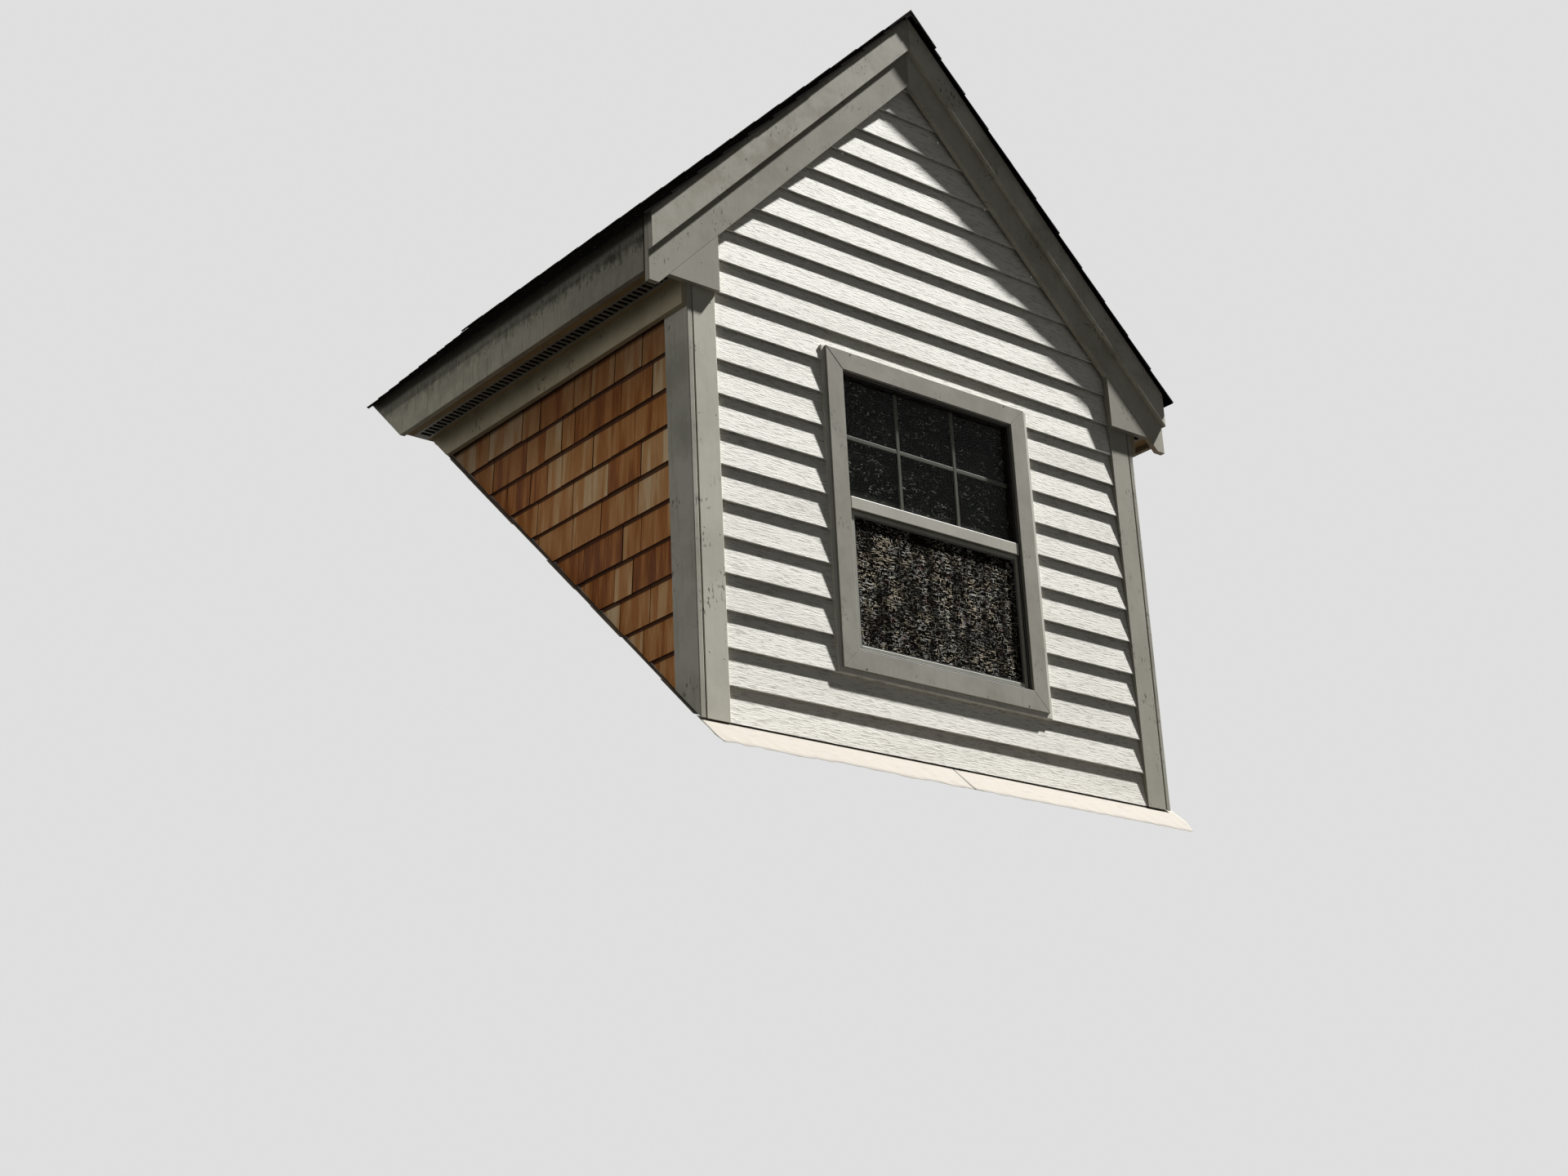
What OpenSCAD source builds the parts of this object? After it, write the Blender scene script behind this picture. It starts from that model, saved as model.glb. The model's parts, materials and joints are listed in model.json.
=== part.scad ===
// Gabled dormer with a single-hung window, lap siding on its front and cedar shingles on its cheeks.
// The origin is on the sloping seat, in the middle of the front wall's foot. +X is to the right,
// +Y runs back into the main roof and +Z is up. The main roof is the plane z = y * tan(main_pitch).

/* [Overall] */
// Width over the side corner boards
body_w = 1950; // [1700:10:2400]
// Slope of the dormer's roof in degrees
roof_pitch = 45; // [40:0.5:50]
// Slope of the main roof that the dormer sits on, in degrees
main_pitch = 44.3; // [38:0.1:50]
// Height of the roof deck's top at the peak, over the seat
peak_h = 2611; // [2450:1:2900]
// Overhang of the fascia's face beyond the side corner boards
eave_over = 152; // [125:1:200]

/* [Walls] */
// Thickness of the front wall, sheathing and lining included
front_wall_t = 101; // [80:1:160]
// Thickness of the cheek walls, sheathing and lining included
cheek_wall_t = 101; // [80:1:160]
// Gap from the main roof up to the feet of cladding and trim
foot_gap = 8; // [4:1:15]

/* [Roof frame] */
// Thickness of the rafters
rafter_t = 38; // [30:1:50]
// Depth of the rafters
rafter_d = 140; // [120:1:150]
// Spacing of the rafters
rafter_pitch = 305; // [250:1:330]
// Length of the seat that is notched into a rafter over the wall
notch_l = 38; // [20:1:50]
// Thickness of the ridge board
ridge_t = 38; // [25:1:50]
// Depth of the ridge board
ridge_d = 235; // [210:1:286]
// Thickness of the roof deck
deck_t = 11; // [9:1:19]

/* [Roof covering] */
// Exposed length of a roof shingle course
roof_course = 146; // [125:1:165]
// Thickness at the butt of a roof shingle course
roof_butt = 9; // [6:0.5:12]
// Thickness at the head of a roof shingle course
roof_head = 3; // [2:0.5:5]
// Overhang of the shingles beyond the fascia, level
shingle_eave_over = 34; // [15:1:45]
// Overhang of the shingles beyond the rake boards
shingle_rake_over = 20; // [10:1:30]
// Width of the ridge cap on each slope
cap_w = 140; // [110:1:160]
// Thickness of the ridge cap
cap_t = 7; // [3:0.5:10]

/* [Trim boards] */
// Thickness of the trim boards
board_t = 19; // [15:1:25]
// Width of the front corner boards
corner_front_w = 89; // [70:1:120]
// Width of the side corner boards
corner_side_w = 114; // [90:1:140]
// Width of the outer rake boards
rake_w = 89; // [70:1:110]
// Width of the wide rake friezes behind them
rake_frieze_w = 184; // [160:1:200]
// Drop of a rake frieze's level-cut tail below the filler
tail_drop = 40; // [25:1:50]
// Lap of a filler past the inner edge of the corner board under it
filler_lap = 7; // [2:1:30]
// Width of the fascias
fascia_w = 184; // [170:1:200]
// Width of the eave friezes over the cheeks
frieze_w = 89; // [70:1:110]

/* [Soffit] */
// Thickness of the soffit boards
soffit_t = 12; // [9:1:16]
// Height of the soffit over the fascia's lower edge
soffit_rise = 19; // [10:1:25]
// Width of the slotted vent strip in the soffit
vent_w = 56; // [46:1:64]
// Distance of the vent strip's outer edge from the fascia's back
vent_in = 44; // [30:1:50]
// Thickness of the vent strip
vent_t = 4; // [3:0.5:6]
// Length of a vent slot, across the soffit
slot_l = 40; // [30:1:42]
// Width of a vent slot
slot_w = 19; // [12:0.5:21]
// Spacing of the vent slots
slot_pitch = 25.4; // [24:0.1:32]

/* [Cladding] */
// Exposed height of a siding board
siding_course = 114.3; // [100:0.1:130]
// Projection of a siding board's butt from the sheathing
siding_butt = 16; // [12:0.5:18]
// Projection of a siding board's head from the sheathing
siding_head = 4; // [3:0.5:6]
// Gap between the siding and the trim beside it
siding_gap = 2; // [1:0.5:4]
// Exposed height of a cedar shingle course
cedar_course = 119; // [105:1:130]
// Projection of a cedar butt from the sheathing
cedar_butt = 15; // [12:0.5:17]
// Projection of a cedar course's head from the sheathing
cedar_head = 6; // [4:0.5:8]
// Depth of the first, partly covered cedar course below the soffit
cedar_first = 195; // [120:1:230]

/* [Window] */
// Width over the window casing
window_w = 870; // [780:1:1050]
// Height over the window casing
window_h = 1063; // [930:1:1240]
// Height of the casing's lower edge over the seat
window_z = 186; // [150:1:280]
// Face width of the casing boards
casing_w = 66; // [50:1:80]
// Thickness of the casing boards
casing_t = 25; // [22:1:32]
// Gap in the casing's mitre joints
mitre_gap = 0.4; // [0.2:0.1:1]
// Face width of the channel round the casing
channel_w = 15; // [10:1:20]
// Face width of the window frame's lip inside the casing
lip_w = 8; // [6:1:12]
// Setback of the lip behind the casing's face
lip_back = 10; // [4:1:14]
// Overlap of the casing over the window frame
frame_lap = 15; // [10:1:25]
// Depth of the window frame into the wall
frame_d = 90; // [75:1:100]
// Clearance between the window frame and the wall's opening
frame_gap = 3; // [1:0.5:6]
// Height of the meeting rail's lower edge over the opening's foot
meeting_z = 455; // [390:1:540]
// Height of the meeting rail
meeting_h = 41; // [30:1:52]
// Setback of the meeting rail behind the casing's face
rail_back = 6; // [2:1:10]
// Depth of the meeting rail behind the upper glass's face
rail_d = 30; // [24:1:31]
// Thickness of the sealed glass units
glass_t = 18; // [12:1:21]
// Setback of the upper glass behind the casing's face
glass_back = 26; // [24:1:30]
// Bite of the glass into its frame
glass_bite = 8; // [5:1:10]
// Width of the lower sash's rails and stiles
sash_w = 38; // [30:1:45]
// Thickness of the lower sash
sash_t = 30; // [28:1:34]
// Setback of the lower sash behind the casing's face
sash_back = 58; // [57:1:60]
// Width of the insect screen's bars
screen_bar = 14; // [10:1:24]
// Thickness of the insect screen
screen_t = 10; // [8:1:12]
// Setback of the insect screen behind the casing's face
screen_back = 14; // [11:1:18]
// Thickness of the screen's mesh
mesh_t = 1; // [0.5:0.5:2]
// Clearance round the sash and the screen
sash_gap = 1; // [0.5:0.5:2]

/* [Flashing] */
// Thickness of the flashing
flash_t = 1.5; // [1:0.5:3]
// Reach of the apron flashing below the front, level
apron_reach = 96; // [70:1:140]
// Reach of the apron flashing beyond the right side corner board
apron_right = 26; // [0:1:40]
// Reach of the apron flashing beyond the left side corner board
apron_left = 0; // [0:1:40]
// Width of the step flashing on the main roof
step_w = 30; // [20:1:60]

/* [Hidden] */

// Slopes
main_rise = tan(main_pitch);
roof_rise = tan(roof_pitch);
roof_cos = cos(roof_pitch);
roof_sin = sin(roof_pitch);

// Planes across the dormer
half_w = body_w / 2;
sheath_x = half_w - board_t;
cheek_in = sheath_x - cheek_wall_t;
fascia_x = half_w + eave_over;
fascia_back = fascia_x - board_t;
frieze_x = half_w + board_t;
corner_in = sheath_x - corner_front_w;
filler_in = corner_in - filler_lap;

// Planes along it
wall_front = -front_wall_t / 2;
wall_back = front_wall_t / 2;
trim_front = wall_front - board_t;
frieze_front = trim_front - board_t;
rake_front = frieze_front - board_t;
shingle_front = rake_front - shingle_rake_over;
main_back = peak_h * 1.2 / main_rise;

// Heights
deck_v = deck_t / roof_cos;
deck_low = peak_h - deck_v;
eave_z = peak_h - fascia_x * roof_rise;
fascia_z = eave_z - fascia_w;
soffit_z = fascia_z + soffit_rise;
soffit_top = soffit_z + soffit_t;
rafter_v = rafter_d / roof_cos;
rafter_peak = deck_low - rafter_v;
cheek_top = rafter_peak - sheath_x * roof_rise + notch_l * roof_rise;

// Window planes
casing_front = wall_front - casing_t;
casing_in_x = window_w / 2 - casing_w;
casing_in_lo = window_z + casing_w;
casing_in_hi = window_z + window_h - casing_w;
light_x = casing_in_x - lip_w;
light_lo = casing_in_lo + lip_w;
light_hi = casing_in_hi - lip_w;
frame_x = casing_in_x + frame_lap;
frame_lo = casing_in_lo - frame_lap;
frame_hi = casing_in_hi + frame_lap;
rail_lo = light_lo + meeting_z;
rail_hi = rail_lo + meeting_h;
glass_y = casing_front + glass_back;
sash_y = casing_front + sash_back;

// Extrudes an outline given in x and z from y0 to y1.
module across(y0, y1) {
    translate([0, y1, 0])
        rotate([90, 0, 0])
            linear_extrude(y1 - y0)
                children();
}

// Extrudes an outline given in y and z from x0 to x1.
module along(x0, x1) {
    translate([x0, 0, 0])
        rotate([90, 0, 90])
            linear_extrude(x1 - x0)
                children();
}

// Draws its children as they are for the right side, and mirrored for the left.
module on_side(side) {
    if (side > 0) {
        children();
    } else {
        mirror([1, 0, 0])
            children();
    }
}

// Takes away what lies under the main roof, raised by lift.
module above_main_roof(lift = 0) {
    reach = 1.2 * main_back;
    side = 1.2 * fascia_x;
    difference() {
        children();
        along(-side, side)
            polygon([[-reach, -reach * main_rise + lift], [reach, reach * main_rise + lift],
                [reach, -2 * reach * main_rise], [-reach, -2 * reach * main_rise]]);
    }
}

// A rectangle between two corners.
module rect(x0, z0, x1, z1) {
    translate([x0, z0])
        square([x1 - x0, z1 - z0]);
}

// The height of the deck's underside at x.
function under_deck(x) = deck_low - x * roof_rise;

// A point on the right slope: s down it from the deck's peak, t out from its top.
function on_slope(s, t) = [s * roof_cos + t * roof_sin, peak_h - s * roof_sin + t * roof_cos];

// The wall at the front, up to the underside of the deck, with the window's opening.
module front_wall() {
    color("#C9BFAE")
    above_main_roof()
        across(wall_front, wall_back)
            difference() {
                polygon([[-sheath_x, -front_wall_t * main_rise], [sheath_x, -front_wall_t * main_rise],
                    [sheath_x, under_deck(sheath_x)], [0, deck_low], [-sheath_x, under_deck(sheath_x)]]);
                rect(-frame_x - frame_gap, frame_lo - frame_gap, frame_x + frame_gap, frame_hi + frame_gap);
            }
}

// A cheek wall: a wedge between the main roof and the level seat of the rafters.
module cheek_wall(side) {
    color("#C9BFAE")
    on_side(side)
        along(cheek_in, sheath_x)
            polygon([[wall_back, wall_back * main_rise], [cheek_top / main_rise, cheek_top],
                [wall_back, cheek_top]]);
}

// The ridge board, from the front wall back to the main roof.
module ridge_board() {
    ridge_top = under_deck(ridge_t / 2);
    color("#B99A6B")
    along(-ridge_t / 2, ridge_t / 2)
        polygon([[wall_back, ridge_top - ridge_d], [(ridge_top - ridge_d) / main_rise, ridge_top - ridge_d],
            [ridge_top / main_rise, ridge_top], [wall_back, ridge_top]]);
}

// The outline of one rafter: plumb cut at the ridge, notch over the wall and level-cut tail.
module rafter_outline() {
    function low(x) = rafter_peak - x * roof_rise;
    tail_x = min(fascia_back, (rafter_peak - soffit_top) / roof_rise);
    polygon([[ridge_t / 2, under_deck(ridge_t / 2)], [fascia_back, under_deck(fascia_back)],
        [fascia_back, soffit_top], [tail_x, soffit_top], [sheath_x, low(sheath_x)],
        [sheath_x, cheek_top], [sheath_x - notch_l, cheek_top], [ridge_t / 2, low(ridge_t / 2)]]);
}

// The rafters of one slope. Those at the back are cut short by the main roof.
module rafters(side) {
    last = deck_low / main_rise - rafter_t - rafter_d;
    color("#BFA173")
    on_side(side)
        above_main_roof()
            for (y = [wall_back : rafter_pitch : last])
                across(y, y + rafter_t)
                    rafter_outline();
}

// The deck of one slope, behind the rake frieze and the fascia.
module roof_deck(side) {
    color("#A98C62")
    on_side(side)
        above_main_roof()
            across(trim_front, main_back)
                polygon([[0, deck_low], [fascia_back, under_deck(fascia_back)],
                    [fascia_back, under_deck(fascia_back) + deck_v], [0, peak_h]]);
}

// Stepped courses of shingles on one slope.
module roof_shingles(side) {
    length = (fascia_x + shingle_eave_over) / roof_cos;
    full = floor(length / roof_course);
    top_s = length - full * roof_course;
    top_head = roof_head + (roof_butt - roof_head) * (1 - top_s / roof_course);
    lower = [for (k = [0 : full - 1], e = [0, 1])
        on_slope(length - (k + e) * roof_course, e == 0 ? roof_butt : roof_head)];
    ridge_in = [[0, peak_h + top_head / roof_cos]];
    color("#8B8782")
    on_side(side)
        above_main_roof()
            across(shingle_front, main_back)
                polygon(concat([[0, peak_h], on_slope(length, 0)], lower,
                    [on_slope(top_s, roof_butt)], ridge_in));
}

// The cap over the ridge.
module ridge_cap() {
    low = peak_h + roof_butt / roof_cos;
    high = low + cap_t / roof_cos;
    in_edge = on_slope(cap_w, roof_butt);
    out_edge = on_slope(cap_w, roof_butt + cap_t);
    color("#7F7B76")
    above_main_roof()
        across(shingle_front, main_back)
            polygon([[0, low], in_edge, out_edge, [0, high], [-out_edge[0], out_edge[1]],
                [-in_edge[0], in_edge[1]]]);
}

// The fascia of one eave, cut to the main roof at its back.
module fascia(side) {
    color("#A9A69C")
    on_side(side)
        above_main_roof()
            across(trim_front, main_back)
                polygon([[fascia_back, fascia_z], [fascia_x, fascia_z], [fascia_x, eave_z],
                    [fascia_back, eave_z + board_t * roof_rise]]);
}

// The two boards of one soffit, with the vent strip between them.
module soffit(side) {
    color("#9C9689")
    on_side(side)
        above_main_roof()
            across(trim_front, main_back) {
                rect(fascia_back - vent_in, soffit_z, fascia_back, soffit_top);
                rect(sheath_x, soffit_z, fascia_back - vent_in - vent_w, soffit_top);
            }
}

// The slotted strip of one soffit.
module soffit_vent(side) {
    out_x = fascia_back - vent_in;
    mid_x = out_x - vent_w / 2;
    first = trim_front + slot_pitch;
    last = soffit_z / main_rise - slot_pitch;
    color("#8F8C82")
    on_side(side)
        above_main_roof()
            difference() {
                across(trim_front, main_back)
                    rect(out_x - vent_w, soffit_z, out_x, soffit_z + vent_t);
                for (y = [first : slot_pitch : last])
                    translate([mid_x - slot_l / 2, y, soffit_z - 1])
                        cube([slot_l, slot_w, vent_t + 2]);
            }
}

// The frieze board of one cheek, under the soffit.
module eave_frieze(side) {
    color("#A9A69C")
    on_side(side)
        above_main_roof(foot_gap)
            across(trim_front, main_back)
                rect(half_w, soffit_z - frieze_w, frieze_x, soffit_z);
}

// The outer rake board, with a plumb joint at the peak and a plumb-cut end.
module rake_board(side) {
    rake_v = rake_w / roof_cos;
    color("#A9A69C")
    on_side(side)
        across(rake_front, frieze_front)
            polygon([[0, peak_h], [0, peak_h - rake_v], [fascia_x, eave_z - rake_v], [fascia_x, eave_z]]);
}

// The wide rake frieze behind it. Its tail is cut level, then plumb.
module rake_frieze(side) {
    frieze_v = rake_frieze_w / roof_cos;
    tail_z = fascia_z - tail_drop;
    tail_x = (peak_h - frieze_v - tail_z) / roof_rise;
    color("#A9A69C")
    on_side(side)
        across(frieze_front, trim_front)
            polygon([[0, peak_h], [0, peak_h - frieze_v], [tail_x, tail_z], [fascia_x, tail_z],
                [fascia_x, eave_z]]);
}

// The filler that closes the corner under the rake frieze.
module rake_filler(side) {
    frieze_low = peak_h - rake_frieze_w / roof_cos;
    color("#A6A399")
    on_side(side)
        across(frieze_front, trim_front)
            polygon([[filler_in, frieze_low - filler_in * roof_rise], [filler_in, fascia_z],
                [(frieze_low - fascia_z) / roof_rise, fascia_z]]);
}

// A lapped profile in projection and height, with its butts at low, low + course and so on.
function lap_profile(low, high, course, butt, head) =
    let (rows = ceil((high - low) / course))
    concat([[0, low]], [for (k = [0 : rows - 1], e = [0, 1])
        let (top = min(low + (k + e) * course, high), run = (top - low - k * course) / course)
        [e == 0 ? butt : butt + (head - butt) * run, top]], [[0, high]]);

// Lapped siding on the front, inside the corner boards and round the window.
module front_siding() {
    low = trim_front * main_rise + foot_gap;
    edge_x = corner_in - siding_gap;
    color("#E8E6E1")
    above_main_roof(foot_gap)
        intersection() {
            along(-edge_x, edge_x)
                polygon([for (p = lap_profile(low, peak_h, siding_course, siding_butt, siding_head))
                    [wall_front - p[0], p[1]]]);
            across(trim_front, wall_front)
                difference() {
                    polygon([[-edge_x, low], [edge_x, low], [edge_x, under_deck(edge_x)], [0, deck_low],
                        [-edge_x, under_deck(edge_x)]]);
                    rect(-window_w / 2 - channel_w, window_z - channel_w,
                        window_w / 2 + channel_w, window_z + window_h);
                }
        }
}

// Coursed cedar shingles on one cheek, from the side corner board back to the main roof.
module cheek_shingles(side) {
    front_y = trim_front + corner_side_w + siding_gap;
    rows = ceil(soffit_z / cedar_course) + 1;
    low = soffit_z - cedar_first - rows * cedar_course;
    color("#B0703C")
    on_side(side)
        above_main_roof(foot_gap)
            translate([sheath_x, 0, 0])
                across(front_y, main_back)
                    polygon(lap_profile(low, soffit_z, cedar_course, cedar_butt, cedar_head));
}

// A front corner board, up behind the rake frieze.
module front_corner_board(side) {
    color("#A9A69C")
    on_side(side)
        above_main_roof(foot_gap)
            across(trim_front, wall_front)
                polygon([[corner_in, trim_front * main_rise], [sheath_x, trim_front * main_rise],
                    [sheath_x, under_deck(sheath_x)], [corner_in, under_deck(corner_in)]]);
}

// A side corner board, up to the soffit. It covers the edge of the front one.
module side_corner_board(side) {
    color("#A19E94")
    on_side(side)
        above_main_roof(foot_gap)
            along(sheath_x, half_w)
                rect(trim_front, trim_front * main_rise, trim_front + corner_side_w, soffit_z);
}

// One casing board of the given length, mitred at both ends, with its outer edge along x.
module casing_board(length) {
    half = length / 2 - mitre_gap / 2;
    polygon([[-half, 0], [half, 0], [half - casing_w, casing_w], [-half + casing_w, casing_w]]);
}

// The mitred picture-frame casing.
module window_casing() {
    mid_z = window_z + window_h / 2;
    color("#ACA99F")
    across(casing_front, wall_front)
        translate([0, mid_z]) {
            for (turn = [0, 180])
                rotate(turn)
                    translate([0, -window_h / 2])
                        casing_board(window_w);
            for (turn = [90, 270])
                rotate(turn)
                    translate([0, -window_w / 2])
                        casing_board(window_h);
        }
}

// The channel beside and under the casing, which takes the ends of the siding.
module window_channel() {
    half = window_w / 2;
    top = window_z + window_h;
    color("#9E9B91")
    across(trim_front, wall_front)
        difference() {
            rect(-half - channel_w, window_z - channel_w, half + channel_w, top);
            rect(-half, window_z, half, top + 1);
        }
}

// The outline of a ring between two rectangles that share the middle in x.
module ring(x_out, lo_out, hi_out, x_in, lo_in, hi_in) {
    difference() {
        rect(-x_out, lo_out, x_out, hi_out);
        rect(-x_in, lo_in, x_in, hi_in);
    }
}

// The dark vinyl frame: a lip inside the casing and a deeper body, grooved for the upper glass.
module window_frame() {
    color("#23211E")
    difference() {
        union() {
            across(casing_front + lip_back, wall_front)
                ring(casing_in_x, casing_in_lo, casing_in_hi, light_x, light_lo, light_hi);
            across(wall_front, wall_front + frame_d)
                ring(frame_x, frame_lo, frame_hi, light_x, light_lo, light_hi);
        }
        across(glass_y, glass_y + glass_t)
            rect(-light_x - glass_bite, rail_lo, light_x + glass_bite, light_hi + glass_bite);
        across(glass_y, glass_y + rail_d)
            rect(-light_x - glass_bite, rail_lo, light_x + glass_bite, rail_hi);
    }
}

// The fixed rail between the lights, let into the frame at its ends, with a groove for the upper glass.
module meeting_rail() {
    color("#B4B1A7")
    difference() {
        union() {
            across(casing_front + rail_back, glass_y)
                rect(-light_x, rail_lo, light_x, rail_hi);
            across(glass_y, glass_y + rail_d)
                rect(-light_x - glass_bite, rail_lo, light_x + glass_bite, rail_hi);
        }
        across(glass_y, glass_y + glass_t)
            rect(-light_x - 2 * glass_bite, rail_hi - glass_bite, light_x + 2 * glass_bite, rail_hi + 1);
    }
}

// The lower sash, which stands on the frame's sill behind the meeting rail.
module lower_sash() {
    half = light_x - sash_gap;
    color("#D8D6CF")
    difference() {
        across(sash_y, sash_y + sash_t)
            ring(half, light_lo, rail_hi, half - sash_w, light_lo + sash_w, rail_hi - sash_w);
        across(sash_y + (sash_t - glass_t) / 2, sash_y + (sash_t + glass_t) / 2)
            rect(-half + sash_w - glass_bite, light_lo + sash_w - glass_bite,
                half - sash_w + glass_bite, rail_hi - sash_w + glass_bite);
    }
}

// The upper glass, set straight into the frame and the meeting rail.
module upper_glass() {
    color("#27302F")
    across(glass_y, glass_y + glass_t)
        rect(-light_x - glass_bite, rail_hi - glass_bite, light_x + glass_bite, light_hi + glass_bite);
}

// The glass of the lower sash.
module lower_glass() {
    half = light_x - sash_gap - sash_w + glass_bite;
    color("#27302F")
    across(sash_y + (sash_t - glass_t) / 2, sash_y + (sash_t + glass_t) / 2)
        rect(-half, light_lo + sash_w - glass_bite, half, rail_hi - sash_w + glass_bite);
}

// The half screen over the lower sash: four bars and a sheet of mesh, standing on the sill.
module insect_screen() {
    half = light_x - sash_gap;
    high = rail_lo - sash_gap;
    back = casing_front + screen_back + screen_t;
    bite = screen_bar / 2;
    color("#B7B4AA") {
        across(back - screen_t, back)
            ring(half, light_lo, high, half - screen_bar, light_lo + screen_bar, high - screen_bar);
        across(back - screen_t / 2, back - screen_t / 2 + mesh_t)
            rect(-half + bite, light_lo + bite, half - bite, high - bite);
    }
}

// The apron under the front, flat on the main roof.
module front_flashing() {
    low_y = trim_front - apron_reach;
    color("#E9E9E6")
    along(-half_w - apron_left, half_w + apron_right)
        polygon([[low_y, low_y * main_rise], [wall_front, wall_front * main_rise],
            [wall_front, wall_front * main_rise + flash_t], [low_y, low_y * main_rise + flash_t]]);
}

// The flashing along one cheek's foot: a strip on the main roof with an upturned edge on the wall.
module step_flashing(side) {
    front_y = wall_front;
    back_y = (soffit_z - foot_gap) / main_rise;
    color("#E3E3E0")
    on_side(side) {
        along(sheath_x, sheath_x + step_w)
            polygon([[front_y, front_y * main_rise], [back_y, back_y * main_rise],
                [back_y, back_y * main_rise + flash_t], [front_y, front_y * main_rise + flash_t]]);
        along(sheath_x, sheath_x + flash_t)
            polygon([[front_y, front_y * main_rise], [back_y, back_y * main_rise],
                [back_y, back_y * main_rise + foot_gap], [front_y, front_y * main_rise + foot_gap]]);
    }
}

front_wall();
cheek_wall(-1);  // left_cheek_wall
cheek_wall(1);  // right_cheek_wall
ridge_board();
rafters(-1);  // left_rafters
rafters(1);  // right_rafters
roof_deck(-1);  // left_roof_deck
roof_deck(1);  // right_roof_deck
roof_shingles(-1);  // left_roof_shingles
roof_shingles(1);  // right_roof_shingles
ridge_cap();
fascia(-1);  // left_fascia
fascia(1);  // right_fascia
soffit(-1);  // left_soffit
soffit(1);  // right_soffit
soffit_vent(-1);  // left_soffit_vent
soffit_vent(1);  // right_soffit_vent
eave_frieze(-1);  // left_eave_frieze
eave_frieze(1);  // right_eave_frieze
rake_board(-1);  // left_rake_board
rake_board(1);  // right_rake_board
rake_frieze(-1);  // left_rake_frieze
rake_frieze(1);  // right_rake_frieze
rake_filler(-1);  // left_rake_filler
rake_filler(1);  // right_rake_filler
front_siding();
cheek_shingles(-1);  // left_cheek_shingles
cheek_shingles(1);  // right_cheek_shingles
front_corner_board(-1);  // left_front_corner_board
front_corner_board(1);  // right_front_corner_board
side_corner_board(-1);  // left_side_corner_board
side_corner_board(1);  // right_side_corner_board
window_casing();
window_channel();
window_frame();
meeting_rail();
lower_sash();
upper_glass();
lower_glass();
insect_screen();
front_flashing();
step_flashing(-1);  // left_step_flashing
step_flashing(1);  // right_step_flashing
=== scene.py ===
"""A gabled dormer with lap siding on its front and cedar shingles on its cheeks, dressed for a picture."""

import json
from math import ceil, cos, pi, radians, sin, tan

import bmesh
import bpy
from mathutils import Matrix, Vector, noise

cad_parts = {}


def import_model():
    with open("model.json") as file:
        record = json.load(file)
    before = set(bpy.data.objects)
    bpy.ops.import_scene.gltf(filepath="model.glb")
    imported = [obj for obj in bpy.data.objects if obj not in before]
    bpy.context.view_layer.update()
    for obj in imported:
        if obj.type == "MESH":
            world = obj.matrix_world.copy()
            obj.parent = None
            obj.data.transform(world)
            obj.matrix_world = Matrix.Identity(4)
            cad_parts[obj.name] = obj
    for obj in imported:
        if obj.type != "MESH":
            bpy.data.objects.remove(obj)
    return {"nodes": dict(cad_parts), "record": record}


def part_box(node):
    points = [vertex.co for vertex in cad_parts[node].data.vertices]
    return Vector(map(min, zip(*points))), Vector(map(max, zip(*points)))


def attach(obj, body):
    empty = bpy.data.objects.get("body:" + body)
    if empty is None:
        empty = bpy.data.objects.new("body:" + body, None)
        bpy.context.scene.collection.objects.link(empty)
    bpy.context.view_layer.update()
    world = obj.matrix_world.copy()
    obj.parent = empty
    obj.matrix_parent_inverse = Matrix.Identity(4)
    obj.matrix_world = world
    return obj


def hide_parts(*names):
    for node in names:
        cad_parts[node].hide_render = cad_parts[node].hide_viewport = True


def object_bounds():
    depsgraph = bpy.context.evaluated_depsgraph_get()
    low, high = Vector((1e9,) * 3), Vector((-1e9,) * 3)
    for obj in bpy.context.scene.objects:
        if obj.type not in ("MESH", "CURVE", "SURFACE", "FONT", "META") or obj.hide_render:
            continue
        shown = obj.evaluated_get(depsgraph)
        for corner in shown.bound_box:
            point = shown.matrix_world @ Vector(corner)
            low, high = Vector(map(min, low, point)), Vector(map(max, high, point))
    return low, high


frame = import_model()
cad_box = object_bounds()
nodes = frame["nodes"]
SIDES = ((-1, "left"), (1, "right"))

# Slopes: the main roof's comes from the seat that the dormer stands on
ROOF_PITCH = radians(45)
ROOF_COS, ROOF_SIN, ROOF_RISE = cos(ROOF_PITCH), sin(ROOF_PITCH), tan(ROOF_PITCH)
seat_axis = frame["record"]["mounts"][0]["axis"]
MAIN_RISE = -seat_axis[1] / seat_axis[2]
MAIN_OUT = Vector((0, -MAIN_RISE, 1)).normalized()
MAIN_UP = Vector((0, 1, MAIN_RISE)).normalized()

# Planes that the CAD pieces give, in metres
SHEATH_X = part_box("right_cheek_wall")[1].x
WALL_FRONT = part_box("front_wall")[0].y
TRIM_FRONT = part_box("right_front_corner_board")[0].y
CORNER_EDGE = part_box("right_front_corner_board")[1].x
FRIEZE_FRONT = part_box("right_rake_frieze")[0].y
CASING_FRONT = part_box("window_casing")[0].y
FASCIA_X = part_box("right_fascia")[1].x
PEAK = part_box("right_rake_board")[1].z
EAVE = PEAK - FASCIA_X * ROOF_RISE
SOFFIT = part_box("right_soffit")[0].z
DECK_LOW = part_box("right_roof_deck")[0].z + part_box("right_roof_deck")[1].x * ROOF_RISE
SHINGLE_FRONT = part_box("right_roof_shingles")[0].y
BACK = cad_box[1][1]
FOOT_GAP = 0.008

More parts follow.
